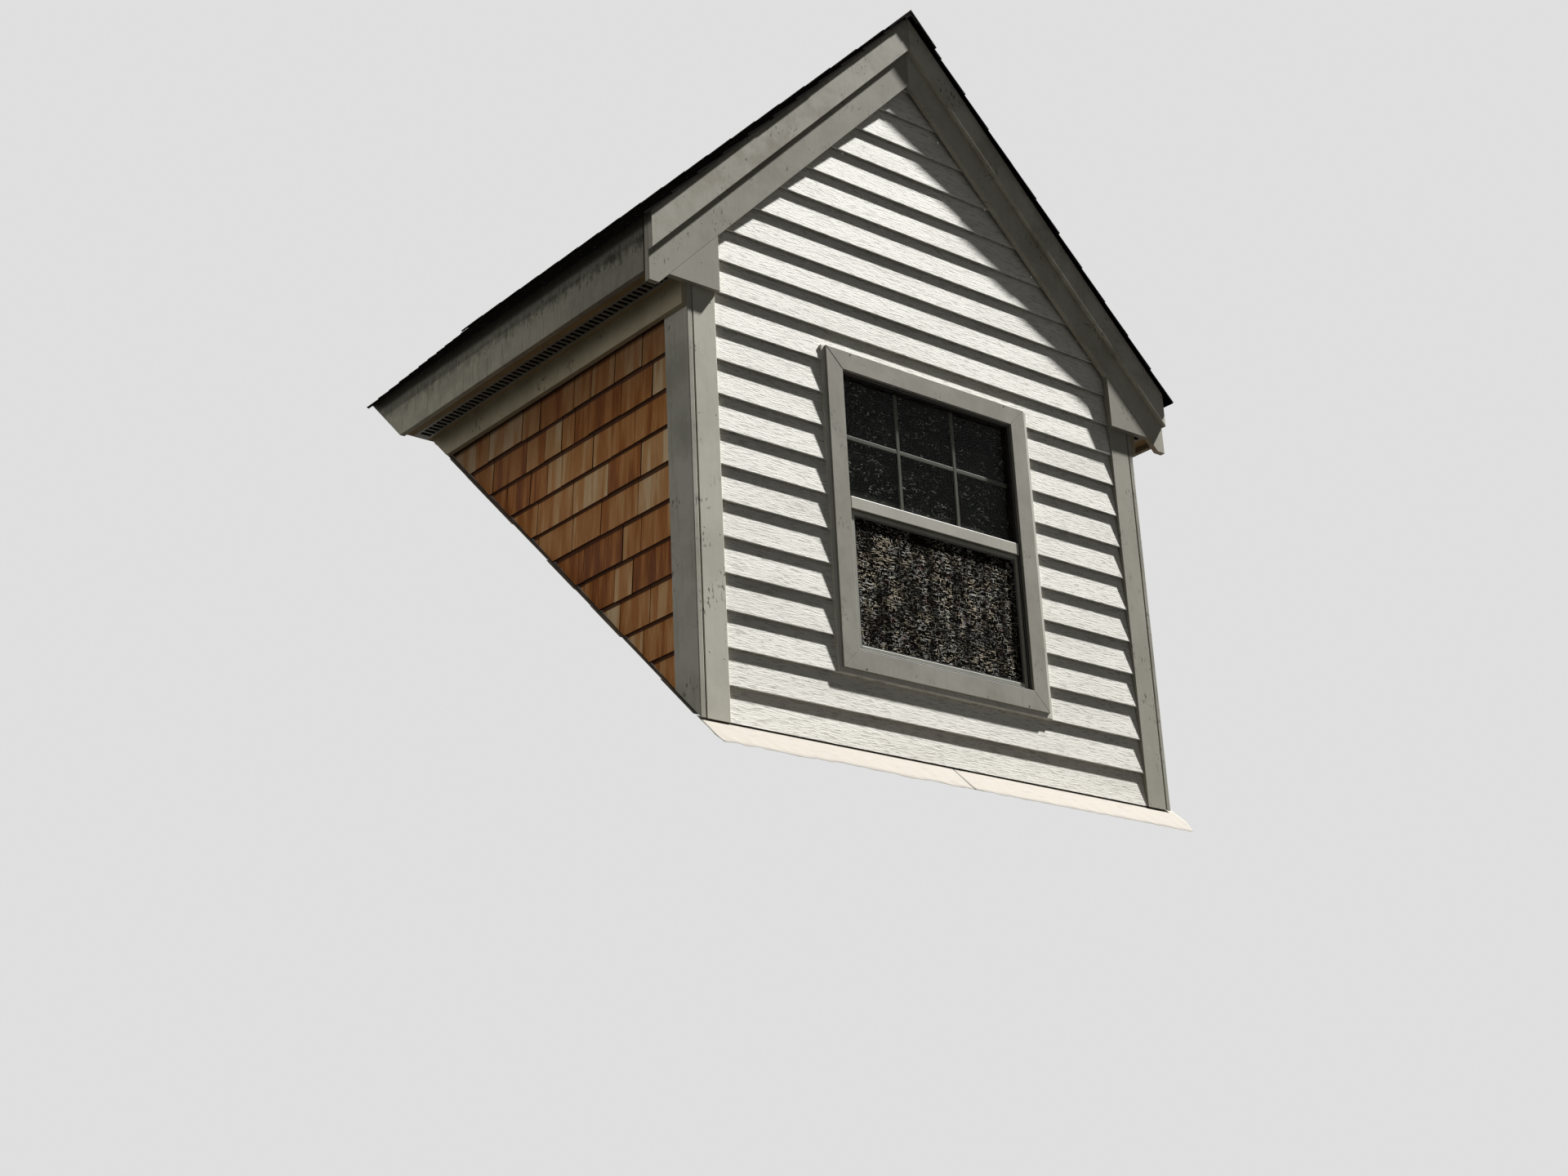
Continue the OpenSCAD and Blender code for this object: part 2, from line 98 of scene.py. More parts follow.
# Exposures and thicknesses of what is laid in courses
SIDING_COURSE, SIDING_BUTT, SIDING_HEAD = 0.1143, 0.016, 0.004
SIDING_LIP, SIDING_TUCK, SIDING_ROLL = 0.005, 0.012, 0.002
CEDAR_COURSE, CEDAR_BUTT, CEDAR_HEAD, CEDAR_FIRST = 0.119, 0.015, 0.006, 0.195
ROOF_COURSE, ROOF_BUTT, ROOF_HEAD = 0.146, 0.009, 0.003
SHINGLE_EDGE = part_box("right_roof_shingles")[1].x - ROOF_BUTT * ROOF_SIN
CAP_COURSE, CAP_BUTT, CAP_HEAD, CAP_WIDTH = 0.143, 0.007, 0.003, 0.140
STEP_COURSE, STEP_BUTT, STEP_HEAD, STEP_SHEET = 0.160, 0.0024, 0.0008, 0.0012
UNDERLAYMENT, FELT = 0.0022, 0.003

# The dark joints that are open between boards, the width of the painted shadow strip on the casing's open
# mitre, and how far a thin piece stands off what is behind it
FASCIA_GAP, CORNER_GAP, MITRE_SHADOW_WIDTH, CLEAR = 0.006, 0.0035, 0.0024, 0.0002

# The window's casing, its panes, the grille between them, and the screen's bars
CASING_WIDTH = 0.066
PANE, SPACER_RIM = 0.003, 0.011
GRILLE_HALF, GRILLE_THIN, GRILLE_THICK, GRILLE_LEVEL = 0.0075, 0.0015, 0.0035, 0.969
SCREEN_RIM, SCREEN_GASKET, MESH_THICK = 0.014, 0.005, 0.0006


# Materials

# The kinds of node that come most often, with their settings
SUM, LESS, TIMES, OVER, TIMES_PLUS, MOST = (
    ("ShaderNodeMath", {"operation": kind})
    for kind in ("ADD", "SUBTRACT", "MULTIPLY", "DIVIDE", "MULTIPLY_ADD", "MAXIMUM"))
SMOOTH_STEP = ("ShaderNodeMapRange", {"interpolation_type": "SMOOTHSTEP"})


def linear(code):
    """An sRGB hex colour as linear red, green, blue and alpha."""
    parts = [int(code[i:i + 2], 16) / 255 for i in (1, 3, 5)]
    return [c / 12.92 if c <= 0.04045 else ((c + 0.055) / 1.055) ** 2.4 for c in parts] + [1.0]


def add(tree, kind, settings=(), inputs=(), stops=()):
    """Adds a node. An input is a value, a hex colour, a socket, or a node whose first output in use is taken.
    Stops are a colour ramp's places and colours, its two ends first."""
    made = tree.nodes.new(kind)
    for key, value in dict(settings).items():
        setattr(made, key, value)
    for key, value in dict(inputs).items():
        if isinstance(value, bpy.types.Node):
            value = next(output for output in value.outputs if output.enabled)
        if isinstance(value, bpy.types.NodeSocket):
            tree.links.new(value, made.inputs[key])
        else:
            colour = isinstance(value, str) and value.startswith("#")
            made.inputs[key].default_value = linear(value) if colour else value
    for i, (place, code) in enumerate(stops):
        ramp = made.color_ramp.elements
        stop = ramp[i] if i < 2 else ramp.new(place)
        stop.position, stop.color = place, linear(code)
    return made


def finish(name, roughness, shine, ior=1.5, alpha=1.0):
    """A new material whose shader's plain values are set, and its tree."""
    material = bpy.data.materials.new(name)
    material.use_nodes = True
    sockets = material.node_tree.nodes["Principled BSDF"].inputs
    sockets["Roughness"].default_value = roughness
    sockets["Specular IOR Level"].default_value = shine
    sockets["IOR"].default_value = ior
    sockets["Alpha"].default_value = alpha
    return material, material.node_tree


def spread(tree, size, low=None, high=None, detail=4.0, roughness=0.55, place=None, twist=0.0):
    """Noise whose blots are size metres across, or (x, y, z) metres where they are stretched.
    With low and high, it is 0 where the noise is under low and 1 where it is over high."""
    sizes = size if isinstance(size, tuple) else (size,) * 3
    place = place or tree.nodes.get("Texture Coordinate") or add(tree, "ShaderNodeTexCoord")
    vector = place.outputs["Object"] if place.bl_idname == "ShaderNodeTexCoord" else place
    blots = add(tree, "ShaderNodeTexNoise", inputs={
        "Vector": add(tree, "ShaderNodeMapping", inputs={"Vector": vector, "Scale": [1 / s for s in sizes]}),
        "Scale": 1.0, "Detail": detail, "Roughness": roughness, "Distortion": twist})
    if low is None:
        return blots
    return add(tree, *SMOOTH_STEP, {"Value": blots, "From Min": low, "From Max": high})


def stain(tree, below, above, mask, most):
    """Lays one colour over another where the mask is 1, and at most by the share most."""
    factor = add(tree, *TIMES, {0: mask, 1: most})
    return add(tree, "ShaderNodeMix", {"data_type": "RGBA"}, {0: factor, 6: below, 7: above})


def skin(material, colour, height, depth):
    """Gives the material its colour, and a relief that is depth metres high where the height is 1."""
    tree = material.node_tree
    relief = add(tree, "ShaderNodeBump", inputs={"Height": height, "Distance": depth, "Strength": 1.0})
    for node, socket in ((colour, "Base Color"), (relief, "Normal")):
        result = next(output for output in node.outputs if output.enabled)
        tree.links.new(result, tree.nodes["Principled BSDF"].inputs[socket])
    return material


def weathered_paint(name, paint, grime, blotches=0.5, runs=0.12, scuffs=0.8):
    """Acrylic paint brushed on milled boards outdoors: dull, blotchy, and scuffed dark in small clusters."""
    material, tree = finish(name, roughness=0.75, shine=0.2, ior=1.46)
    colour = stain(tree, paint, grime, spread(tree, 0.22, 0.38, 0.66, 9.0, 0.68), blotches)
    colour = stain(tree, colour, grime, spread(tree, (0.018, 0.018, 0.30), 0.50, 0.75, 3.0), runs)
    marks = add(tree, *TIMES, {
        0: spread(tree, (0.009, 0.009, 0.020), 0.56, 0.66, 3.0), 1: spread(tree, 0.10, 0.54, 0.64, 2.0)})
    colour = stain(tree, colour, "#4A463E", marks, scuffs)
    return skin(material, colour, spread(tree, (0.02, 0.02, 0.06), detail=3.0), 0.0003)


def mildewed_paint_with_painted_shade(name, paint, mildew, grime_and_painted_shade, boundary):
    """Fascia paint in the damp under an eave: painted shade of the overhang over the boundary, spotted with
    mildew round it, and paler towards the main roof."""
    material, tree = finish(name, roughness=0.78, shine=0.2, ior=1.46)
    place = add(tree, "ShaderNodeTexCoord").outputs["Object"]
    _, away, level = add(tree, "ShaderNodeSeparateXYZ", inputs={0: place}).outputs
    near = add(tree, "ShaderNodeMapRange", inputs={"Value": away, "From Min": 0.9, "From Max": 0.1})
    wavy = add(tree, *TIMES_PLUS, {0: spread(tree, 0.12), 1: 0.012, 2: level})
    above = add(tree, *LESS, {0: wavy, 1: boundary + 0.006})
    painted_overhang_shade = add(tree, *SMOOTH_STEP, {"Value": above, "From Min": -0.004, "From Max": 0.006})
    apart = add(tree, "ShaderNodeMath", {"operation": "ABSOLUTE"}, {0: above})
    spotted = add(tree, *TIMES_PLUS, {
        0: apart, 1: -5.0, 2: spread(tree, (0.014, 0.014, 0.032), detail=6.0, roughness=0.75)})
    spots = add(tree, *SMOOTH_STEP, {"Value": spotted, "From Min": 0.34, "From Max": 0.54})
    patchy = add(tree, *TIMES, {0: spots, 1: spread(tree, (0.09, 0.09, 0.06), 0.30, 0.50, 3.0)})
    rife = add(tree, *TIMES, {0: patchy, 1: add(tree, *TIMES_PLUS, {0: near, 1: 0.55, 2: 0.45})})
    fading = add(tree, *TIMES_PLUS, {0: above, 1: 0.8, 2: spread(tree, (0.006, 0.006, 0.05), detail=3.0)})
    streaks = add(tree, *SMOOTH_STEP, {"Value": fading, "From Min": 0.60, "From Max": 0.68})
    colour = stain(tree, paint, grime_and_painted_shade, spread(tree, (0.010, 0.010, 0.07), 0.48, 0.70), 0.30)
    colour = stain(tree, colour, grime_and_painted_shade, spread(tree, 0.12, 0.42, 0.70, 9.0, 0.7), 0.35)
    colour = stain(tree, colour, grime_and_painted_shade, near, 0.55)
    colour = stain(tree, colour, mildew, streaks, 0.55)
    # Painted shade: the overhang's shade over the boundary, drawn into the paint
    colour = stain(tree, colour, grime_and_painted_shade, painted_overhang_shade, 0.65)
    colour = stain(tree, colour, mildew, rife, 0.9)
    return skin(material, colour, spread(tree, 0.008, detail=3.0), 0.0004)


def embossed_vinyl(name, vinyl, dirt):
    """Extruded vinyl siding, embossed with a wavy wood grain: strokes 36 mm long and 4 mm apart."""
    material, tree = finish(name, roughness=0.65, shine=0.2, ior=1.53)
    grain = spread(tree, (0.036, 0.036, 0.0040), detail=4.0, roughness=0.6, twist=0.5)
    lines = add(tree, *SMOOTH_STEP, {"Value": grain, "From Min": 0.50, "From Max": 0.66})
    colour = stain(tree, vinyl, dirt, lines, 0.65)
    colour = stain(tree, colour, dirt, spread(tree, (0.5, 0.5, 0.09), 0.42, 0.75), 0.25)
    return skin(material, colour, grain, 0.0014)


def weathered_cedar(name, stops, across, grain_and_painted_shade):
    """Sawn cedar shingles: each has its own tone from brown to tan, and streaks down its grain. They are
    painted darker under the eave, as painted shade of the overhang, and in a painted shadow line where
    their run from butt to butt ends, under the next butt."""
    material, tree = finish(name, roughness=0.85, shine=0.2)
    tone = add(tree, "ShaderNodeAttribute", {"attribute_name": "tone"}).outputs["Fac"]
    own = add(tree, "ShaderNodeVectorMath", {"operation": "MULTIPLY"}, {
        0: add(tree, "ShaderNodeCombineXYZ", inputs={0: tone, 1: tone, 2: tone}), 1: (31.0, 0.0, 17.0)})
    shared = add(tree, "ShaderNodeTexCoord").outputs["Object"]
    place = add(tree, "ShaderNodeVectorMath", {"operation": "ADD"}, {0: shared, 1: own})
    grain = spread(tree, (across, across, 0.24), detail=5.0, roughness=0.62, place=place)
    bands = spread(tree, (0.045, 0.045, 0.60), 0.38, 0.62, 2.0, place=place)
    streaked = add(tree, *TIMES_PLUS, {0: tone, 1: 0.55, 2: add(tree, *TIMES, {0: grain, 1: 0.45})})
    mixed = add(tree, *TIMES_PLUS, {0: bands, 1: 0.30, 2: streaked})
    shade = add(tree, "ShaderNodeMapRange", inputs={"Value": mixed, "From Min": 0.24, "From Max": 1.06})
    ramp = add(tree, "ShaderNodeValToRGB", inputs={"Fac": shade}, stops=stops)
    fine = spread(tree, (0.004, 0.004, 0.10), 0.58, 0.72, 2.0, place=place)
    run = add(tree, "ShaderNodeAttribute", {"attribute_name": "run"}).outputs["Fac"]
    # Painted shadow under the butt of the course above
    painted_butt_shadow = add(tree, *SMOOTH_STEP, {"Value": run, "From Min": 0.89, "From Max": 0.92})
    level = add(tree, "ShaderNodeSeparateXYZ", inputs={0: shared}).outputs["Z"]
    # Painted shade of the overhang, darker towards the soffit
    painted_eave_shade = add(tree, *SMOOTH_STEP, {
        "Value": level, "From Min": SOFFIT - 0.45, "From Max": SOFFIT - 0.06})
    colour = stain(tree, stain(tree, ramp, grain_and_painted_shade, fine, 0.22), grain_and_painted_shade, painted_eave_shade, 0.66)
    colour = stain(tree, colour, grain_and_painted_shade, painted_butt_shadow, 0.95)
    return skin(material, colour, grain, 0.0016)


def granules(name, stops, worn):
    """Asphalt shingles coated with crushed stone, drawn as 5 mm grains because 1.5 mm ones don't show."""
    material, tree = finish(name, roughness=0.93, shine=0.2)
    tone = add(tree, "ShaderNodeAttribute", {"attribute_name": "tone"}).outputs["Fac"]
    grit = add(tree, "ShaderNodeTexVoronoi", inputs={
        "Vector": add(tree, "ShaderNodeTexCoord").outputs["Object"], "Scale": 1 / 0.005})
    grain = add(tree, "ShaderNodeSeparateColor", inputs={"Color": grit.outputs["Color"]})
    patches = add(tree, *TIMES, {0: spread(tree, 0.07), 1: 0.3})
    toned = add(tree, *TIMES_PLUS, {0: tone, 1: 0.25, 2: patches})
    mixed = add(tree, *TIMES_PLUS, {0: grain, 1: 0.55, 2: toned})
    ramp = add(tree, "ShaderNodeValToRGB", inputs={"Fac": mixed}, stops=stops)
    return skin(material, stain(tree, ramp, worn, spread(tree, 0.35, 0.5, 0.8), 0.3), grain, 0.0012)


def bitumen(name, tar, brown):
    """The cut edges and undersides of asphalt shingles: black with brown fibres, dull."""
    material, tree = finish(name, roughness=0.95, shine=0.02)
    colour = stain(tree, tar, brown, spread(tree, (0.05, 0.05, 0.002), 0.55, 0.75, 3.0), 0.9)
    return skin(material, colour, spread(tree, 0.004, detail=2.0), 0.0008)


def sawn_softwood(name, early, late, turn):
    """Sawn spruce framing: straight grain 8 mm apart, a knot here and there, dull. Turn lays X along it."""
    material, tree = finish(name, roughness=0.75, shine=0.3)
    along = add(tree, "ShaderNodeMapping", inputs={
        "Vector": add(tree, "ShaderNodeTexCoord").outputs["Object"], "Rotation": turn})
    grain = spread(tree, (0.45, 0.0085, 0.0085), place=along)
    knots = add(tree, "ShaderNodeTexVoronoi", inputs={"Vector": along, "Scale": 1 / 0.26})
    knot = add(tree, *SMOOTH_STEP, {"Value": knots, "From Min": 0.085, "From Max": 0.045})
    rings = add(tree, "ShaderNodeMapRange", inputs={"Value": grain, "From Min": 0.36, "From Max": 0.70})
    colour = stain(tree, stain(tree, early, late, rings, 1.0), "#5B3A1E", knot, 0.8)
    return skin(material, colour, grain, 0.0006)


def strand_board(name, pale, dark, glue):
    """Oriented strand board: flat flakes 18 by 80 mm that lie across one another in three directions."""
    material, tree = finish(name, roughness=0.75, shine=0.3)
    place = add(tree, "ShaderNodeTexCoord").outputs["Object"]
    shades = []
    for turn in ((0.5, 0.7, 0.3), (2.1, -0.9, 1.2), (-1.3, 0.4, 2.4)):
        turned = add(tree, "ShaderNodeMapping", inputs={"Vector": place, "Rotation": turn})
        long = add(tree, "ShaderNodeMapping", inputs={
            "Vector": turned, "Scale": (1 / 0.08, 1 / 0.018, 1 / 0.018)})
        flakes = add(tree, "ShaderNodeTexVoronoi", inputs={"Vector": long, "Scale": 1.0})
        shades.append(add(tree, "ShaderNodeSeparateColor", inputs={"Color": flakes.outputs["Color"]}))
    top = add(tree, "ShaderNodeMath", {"operation": "GREATER_THAN"}, {0: shades[2], 1: 0.55})
    shade = add(tree, "ShaderNodeMix", inputs={0: top, 2: shades[0], 3: shades[1]})
    fibres = add(tree, *TIMES, {0: spread(tree, (0.004, 0.03, 0.004), detail=3.0), 1: 0.35})
    mixed = add(tree, *TIMES_PLUS, {0: shade, 1: 0.75, 2: fibres})
    ramp = add(tree, "ShaderNodeValToRGB", inputs={"Fac": mixed},
               stops=((0.1, dark), (0.95, pale), (0.5, glue)))
    return skin(material, ramp, mixed, 0.0008)


def moulded_vinyl(name, vinyl, dirt, roughness=0.5, shine=0.3):
    """Extruded window vinyl: smooth, half dull, with dust that has settled in clouds and runs."""
    material, tree = finish(name, roughness=roughness, shine=shine, ior=1.53)
    colour = stain(tree, vinyl, dirt, spread(tree, 0.12, 0.45, 0.75), 0.45)
    colour = stain(tree, colour, dirt, spread(tree, (0.012, 0.012, 0.20), 0.52, 0.74, 3.0), 0.35)
    return skin(material, colour, spread(tree, 0.02, detail=2.0), 0.0002)


def pane_with_painted_shade(name, depth, reflection_and_haze, foot):
    """Float glass drawn opaque, with the room's shade behind it painted in near black: glossy, with painted
    reflections as pale flecks in clouds, and a hazy foot.
    """
    material, tree = finish(name, roughness=0.05, shine=0.08, ior=1.2)
    painted_reflections = add(tree, *TIMES, {
        0: spread(tree, (0.018, 0.018, 0.008), 0.635, 0.665, 1.5, 0.5, twist=1.6),
        1: spread(tree, 0.09, 0.40, 0.54, 3.0)})
    place = add(tree, "ShaderNodeTexCoord").outputs["Object"]
    height = add(tree, "ShaderNodeSeparateXYZ", inputs={0: place}).outputs["Z"]
    cloudy = add(tree, *TIMES_PLUS, {0: spread(tree, 0.05), 1: 0.03, 2: height})
    haze = add(tree, *SMOOTH_STEP, {"Value": cloudy, "From Min": foot + 0.055, "From Max": foot + 0.020})
    colour = stain(tree, depth, "#8C8E82", spread(tree, (0.5, 0.5, 0.05), 0.50, 0.72, 6.0, 0.65), 0.035)
    # Painted reflections: pale flecks in clouds
    colour = stain(tree, colour, reflection_and_haze, painted_reflections, 0.65)
    colour = stain(tree, colour, reflection_and_haze, haze, 0.18)
    return skin(material, colour, spread(tree, 0.3, detail=1.0), 0.0001)


def clear_pane(name):
    """Clear float glass: its alpha leaves a thin glossy film, and lets the sun reach what is behind it."""
    material, tree = finish(name, roughness=0.03, shine=0.3, alpha=0.12)
    colour = stain(tree, "#1B1F1A", "#2A2E28", spread(tree, 0.09, 0.50, 0.80), 1.0)
    return skin(material, colour, spread(tree, 0.3, detail=1.0), 0.00005)


def woven_screen(name, wire, warm, cool):
    """Dark woven mesh: its wires are too fine to show, so their glints are drawn as strokes 18 mm long,
    in upright patches."""
    material, tree = finish(name, roughness=0.8, shine=0.0)
    level = spread(tree, (0.018, 0.018, 0.0028), 0.60, 0.65, 1.0, 0.5, twist=0.9)
    upright = spread(tree, (0.0030, 0.0030, 0.012), 0.64, 0.70, 1.0, 0.5)
    strokes = add(tree, *MOST, {0: level, 1: upright})
    patches = add(tree, *TIMES_PLUS, {
        0: spread(tree, (0.045, 0.045, 0.15), 0.38, 0.60, 4.0), 1: 0.85, 2: 0.22})
    lit = add(tree, *TIMES, {0: strokes, 1: patches})
    glint = stain(tree, warm, cool, spread(tree, 0.05, 0.42, 0.58, 2.0), 1.0)
    glint = stain(tree, glint, "#8A5A4A", spread(tree, 0.05, 0.58, 0.66, 2.0), 0.7)
    return skin(material, stain(tree, wire, glint, lit, 1.0), level, 0.0002)


def coated_aluminium(name, coat, scuff):
    """Coated aluminium flashing, chalky with age: dull, and greyer where it is scuffed."""
    material, tree = finish(name, roughness=0.75, shine=0.1)
    colour = stain(tree, coat, scuff, spread(tree, (0.05, 0.015, 0.02), 0.56, 0.72), 0.45)
    return skin(material, colour, spread(tree, (0.06, 0.03, 0.03), detail=3.0), 0.002)


# Each side has its own paint for the corner boards, rakes and friezes. The left corner board is painted
# paler, as painted light, and the right one darker, as painted shade; the right rakes and friezes are painted
# paler, as painted light in their shade
CORNER_PAINT = {
    "left": weathered_paint("corner_paint_with_painted_light", "#C8C5B6", "#ADA99B"),
    "right": weathered_paint("corner_paint_with_painted_shade", "#ACA99B", "#979386")}
SIDE_CORNER_PAINT = weathered_paint("mildewed_corner_paint", "#ADAA9C", "#5E5D4F", 0.40, 0.22)
CASING_PAINT = weathered_paint("smooth_casing_paint", "#A4A195", "#878377", 0.55, 0.15, 0.35)
FILLER_PAINT = weathered_paint("filler_paint", "#9A9689", "#878377", 0.4)
RAKE_PAINT = {
    "left": weathered_paint("scuffed_rake_paint", "#A9A598", "#77705F", 0.75, 0.18, 1.0),
    "right": weathered_paint("rake_paint_with_painted_light", "#C8C4B6", "#948D7C", 0.75, 0.18, 1.0)}
RAKE_FRIEZE_PAINT = {
    "left": weathered_paint("rake_frieze_paint", "#9A9689", "#7A7566", 0.6, 0.16),
    "right": weathered_paint("rake_frieze_paint_with_painted_light", "#BEBAAC", "#948D7C", 0.6, 0.16)}
# The soffit's paint is browner and paler than the other trim: painted light bounced up from the cedar and
# roof into its shade
SOFFIT_PAINT = weathered_paint("soffit_paint_with_painted_bounce", "#98835D", "#655539", 0.6, 0.1)
# The eave frieze's paint is a browner tint of the trim paint
EAVE_FRIEZE_PAINT = weathered_paint("browner_eave_frieze_paint", "#A79D83", "#81775E", 0.5, 0.1)
# The fascia's darker colour marks blotches and the front end, and is the painted shade of the overhang above
# the boundary
FASCIA_PAINT = mildewed_paint_with_painted_shade("mildewed_fascia_paint_with_painted_shade", "#B2AE9B", "#212118", "#4F4C44", EAVE - 0.074)
NAIL_PAINT = weathered_paint("chipped_nail_paint", "#D2CFC4", "#A9A59A", 0.5, 0.0, 0.0)
NAIL_IRON = weathered_paint("rusted_nail_heads", "#3A342B", "#2A251E", 0.5, 0.0, 0.0)
SIDING = embossed_vinyl("embossed_siding_vinyl", "#EBE8DE", "#A09C90")
# The cedar's last, darkest colour streaks the grain and is also the painted shade under the eave and under
# each butt
CEDAR = weathered_cedar("weathered_cedar", (
    (0.0, "#6E3A15"), (1.0, "#D9BD95"), (0.25, "#9A5F2A"), (0.50, "#B47D48"), (0.75, "#C59B6A")),
    0.006, "#3A1D0A")
CEDAR_EDGE = weathered_cedar("cedar_end_grain", ((0.0, "#2A170B"), (1.0, "#5E3B20")), 0.003, "#1B100A")
GRANULES = granules("granule_coated_asphalt", (
    (0.0, "#2E2C2A"), (1.0, "#A9A59D"), (0.3, "#524F4B"), (0.5, "#68655E"), (0.7, "#7B766B")), "#524D46")
BITUMEN = bitumen("cut_asphalt_edge", "#131110", "#33261A")
RIDGE_LUMBER = sawn_softwood("sawn_spruce_ridge", "#CBAA78", "#A67C48", (0, 0, -pi / 2))
RAFTER_LUMBER = {
    "left": sawn_softwood("sawn_spruce_left_rafters", "#C9A976", "#A98252", (0, ROOF_PITCH, 0)),
    "right": sawn_softwood("sawn_spruce_right_rafters", "#C9A976", "#A98252", (0, -ROOF_PITCH, 0))}
SHEATHING = strand_board("oriented_strand_board", "#CDB07E", "#A27C4A", "#BA9864")
DARK_VINYL = moulded_vinyl("dark_bronze_vinyl", "#1E1C19", "#3A362F", 0.45)
PALE_VINYL = moulded_vinyl("pale_window_vinyl", "#B6B3A5", "#98958A")
SCREEN_BAR = moulded_vinyl("painted_screen_bar", "#8E8D80", "#66645A")
CHANNEL_VINYL = moulded_vinyl("white_channel_vinyl", "#D9D6CB", "#A09C90", 0.6, 0.2)
GRILLE_BAR = moulded_vinyl("painted_grille_bar", "#616355", "#484A40", 0.5, 0.15)
VENT_VINYL = moulded_vinyl("aged_vent_vinyl", "#7C776A", "#4E4839", 0.55)
# Both panes are painted near black as the shade of the room behind them, with painted reflections
UPPER_PANE = pane_with_painted_shade("upper_pane_with_painted_shade", "#050803", "#B4B6AA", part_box("meeting_rail")[1].z)
LOWER_PANE = pane_with_painted_shade("lower_pane_with_painted_shade", "#050803", "#B4B6AA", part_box("lower_glass")[0].z)
CLEAR_PANE = clear_pane("clear_float_glass")
SCREEN_MESH = woven_screen("dark_woven_mesh", "#0F0E0C", "#DACDB5", "#D2D2CB")
FLASHING = coated_aluminium("chalky_coated_aluminium", "#A09A90", "#868079")


# Making pieces

def stand(name, data):
    """Puts an object of the data into the scene."""
    obj = bpy.data.objects.new(name, data)
    bpy.context.scene.collection.objects.link(obj)
    return obj


def solid(name, bm, materials):
    """Makes an object of a bmesh, and frees the bmesh."""
    mesh = bpy.data.meshes.new(name)
    bm.to_mesh(mesh)
    bm.free()
    for material in materials:
        mesh.materials.append(material)
    return stand(name, mesh)


def piece(name, bm, materials, stands_for=()):
    """Makes an object of a bmesh, lets it ride on the body and hides the CAD pieces that it stands for."""
    obj = solid(name, bm, materials)
    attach(obj, "root")
    if stands_for:
        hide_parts(*stands_for)
    return obj


def join(bm, other):
    """Adds another bmesh's faces and frees it."""
    mesh = bpy.data.meshes.new("joined")
    other.to_mesh(mesh)
    other.free()
    bm.from_mesh(mesh)
    bpy.data.meshes.remove(mesh)


def cut(bm, point, normal):
    """Takes away what lies on the side that the normal points to, and closes the cut."""
    if not bm.verts:
        return
    made = bmesh.ops.bisect_plane(bm, geom=bm.verts[:] + bm.edges[:] + bm.faces[:], dist=1e-7,
                                  plane_co=Vector(point), plane_no=Vector(normal), clear_outer=True)
    rim = [e for e in made["geom_cut"] if isinstance(e, bmesh.types.BMEdge) and e.is_boundary]
    if rim:
        bmesh.ops.holes_fill(bm, edges=rim, sides=0)


def cut_to_main_roof(bm, gap=0.0):
    """Takes away what lies under the main roof, raised by gap."""
    cut(bm, (0, 0, gap), -MAIN_OUT)


def prism(bm, outline, axis, start, end):
    """Adds a prism: outline is a loop of points across the axis, in the order of the axes left."""
    def place(point, along):
        coordinates = list(point)
        coordinates.insert(axis, along)
        return coordinates
    ends = [[bm.verts.new(place(p, along)) for p in outline] for along in (start, end)]
    faces = [bm.faces.new(ends[0]), bm.faces.new(ends[1])]
    for i in range(len(outline)):
        j = (i + 1) % len(outline)
        faces.append(bm.faces.new((ends[0][i], ends[0][j], ends[1][j], ends[1][i])))
    bmesh.ops.recalc_face_normals(bm, faces=faces)


def oblong(bm, x0, x1, z0, z1, front, back):
    """Adds a flat piece that faces the front."""
    prism(bm, [(x0, z0), (x1, z0), (x1, z1), (x0, z1)], 1, front, back)


def surround(bm, low, high, inset, width, front, back):
    """Adds four bars round an opening, inset from its box on every side."""
    x0, x1, z0, z1 = low.x + inset, high.x - inset, low.z + inset, high.z - inset
    oblong(bm, x0, x0 + width, z0, z1, front, back)
    oblong(bm, x1 - width, x1, z0, z1, front, back)
    oblong(bm, x0 + width, x1 - width, z0, z0 + width, front, back)
    oblong(bm, x0 + width, x1 - width, z1 - width, z1, front, back)


def ease(bm, edge):
    """Rounds the sharp edges, as planing and paint leave them."""
    sharp = [e for e in bm.edges if e.is_manifold and e.calc_face_angle() > radians(20)]
    bmesh.ops.bevel(bm, geom=sharp, offset=edge, offset_type="OFFSET", segments=2, profile=0.5,
                    affect="EDGES", clamp_overlap=True)


def eased(node, edge, material, open_joint=None):
    """Stands for a CAD piece: the same solid with its sharp edges eased. An open joint is a point and a
    normal: the piece ends there, a little short of its neighbour."""
    bm = bmesh.new()
    bm.from_mesh(nodes[node].data)
    bmesh.ops.remove_doubles(bm, verts=bm.verts, dist=1e-5)
    if open_joint:
        cut(bm, *open_joint)
    bmesh.ops.dissolve_limit(bm, angle_limit=radians(0.5), verts=bm.verts, edges=bm.edges)
    ease(bm, edge)
    for face in bm.faces:
        face.material_index = 0
    return piece(node + "_eased", bm, [material], [node])


def paint_node(node, material):
    """Gives a CAD piece that keeps its shape a finished material."""
    nodes[node].data.materials.clear()
    nodes[node].data.materials.append(material)


# What repeats

def new_tree(name, sockets):
    """A Geometry Nodes tree whose inputs are named by kind, and the outputs of its input node."""
    tree = bpy.data.node_groups.new(name, "GeometryNodeTree")
    tree.interface.new_socket("Geometry", in_out="OUTPUT", socket_type="NodeSocketGeometry")
    for kind, names in sockets.items():
        for socket in names.split():
            tree.interface.new_socket(socket, in_out="INPUT", socket_type="NodeSocket" + kind)
    return tree, add(tree, "NodeGroupInput").outputs


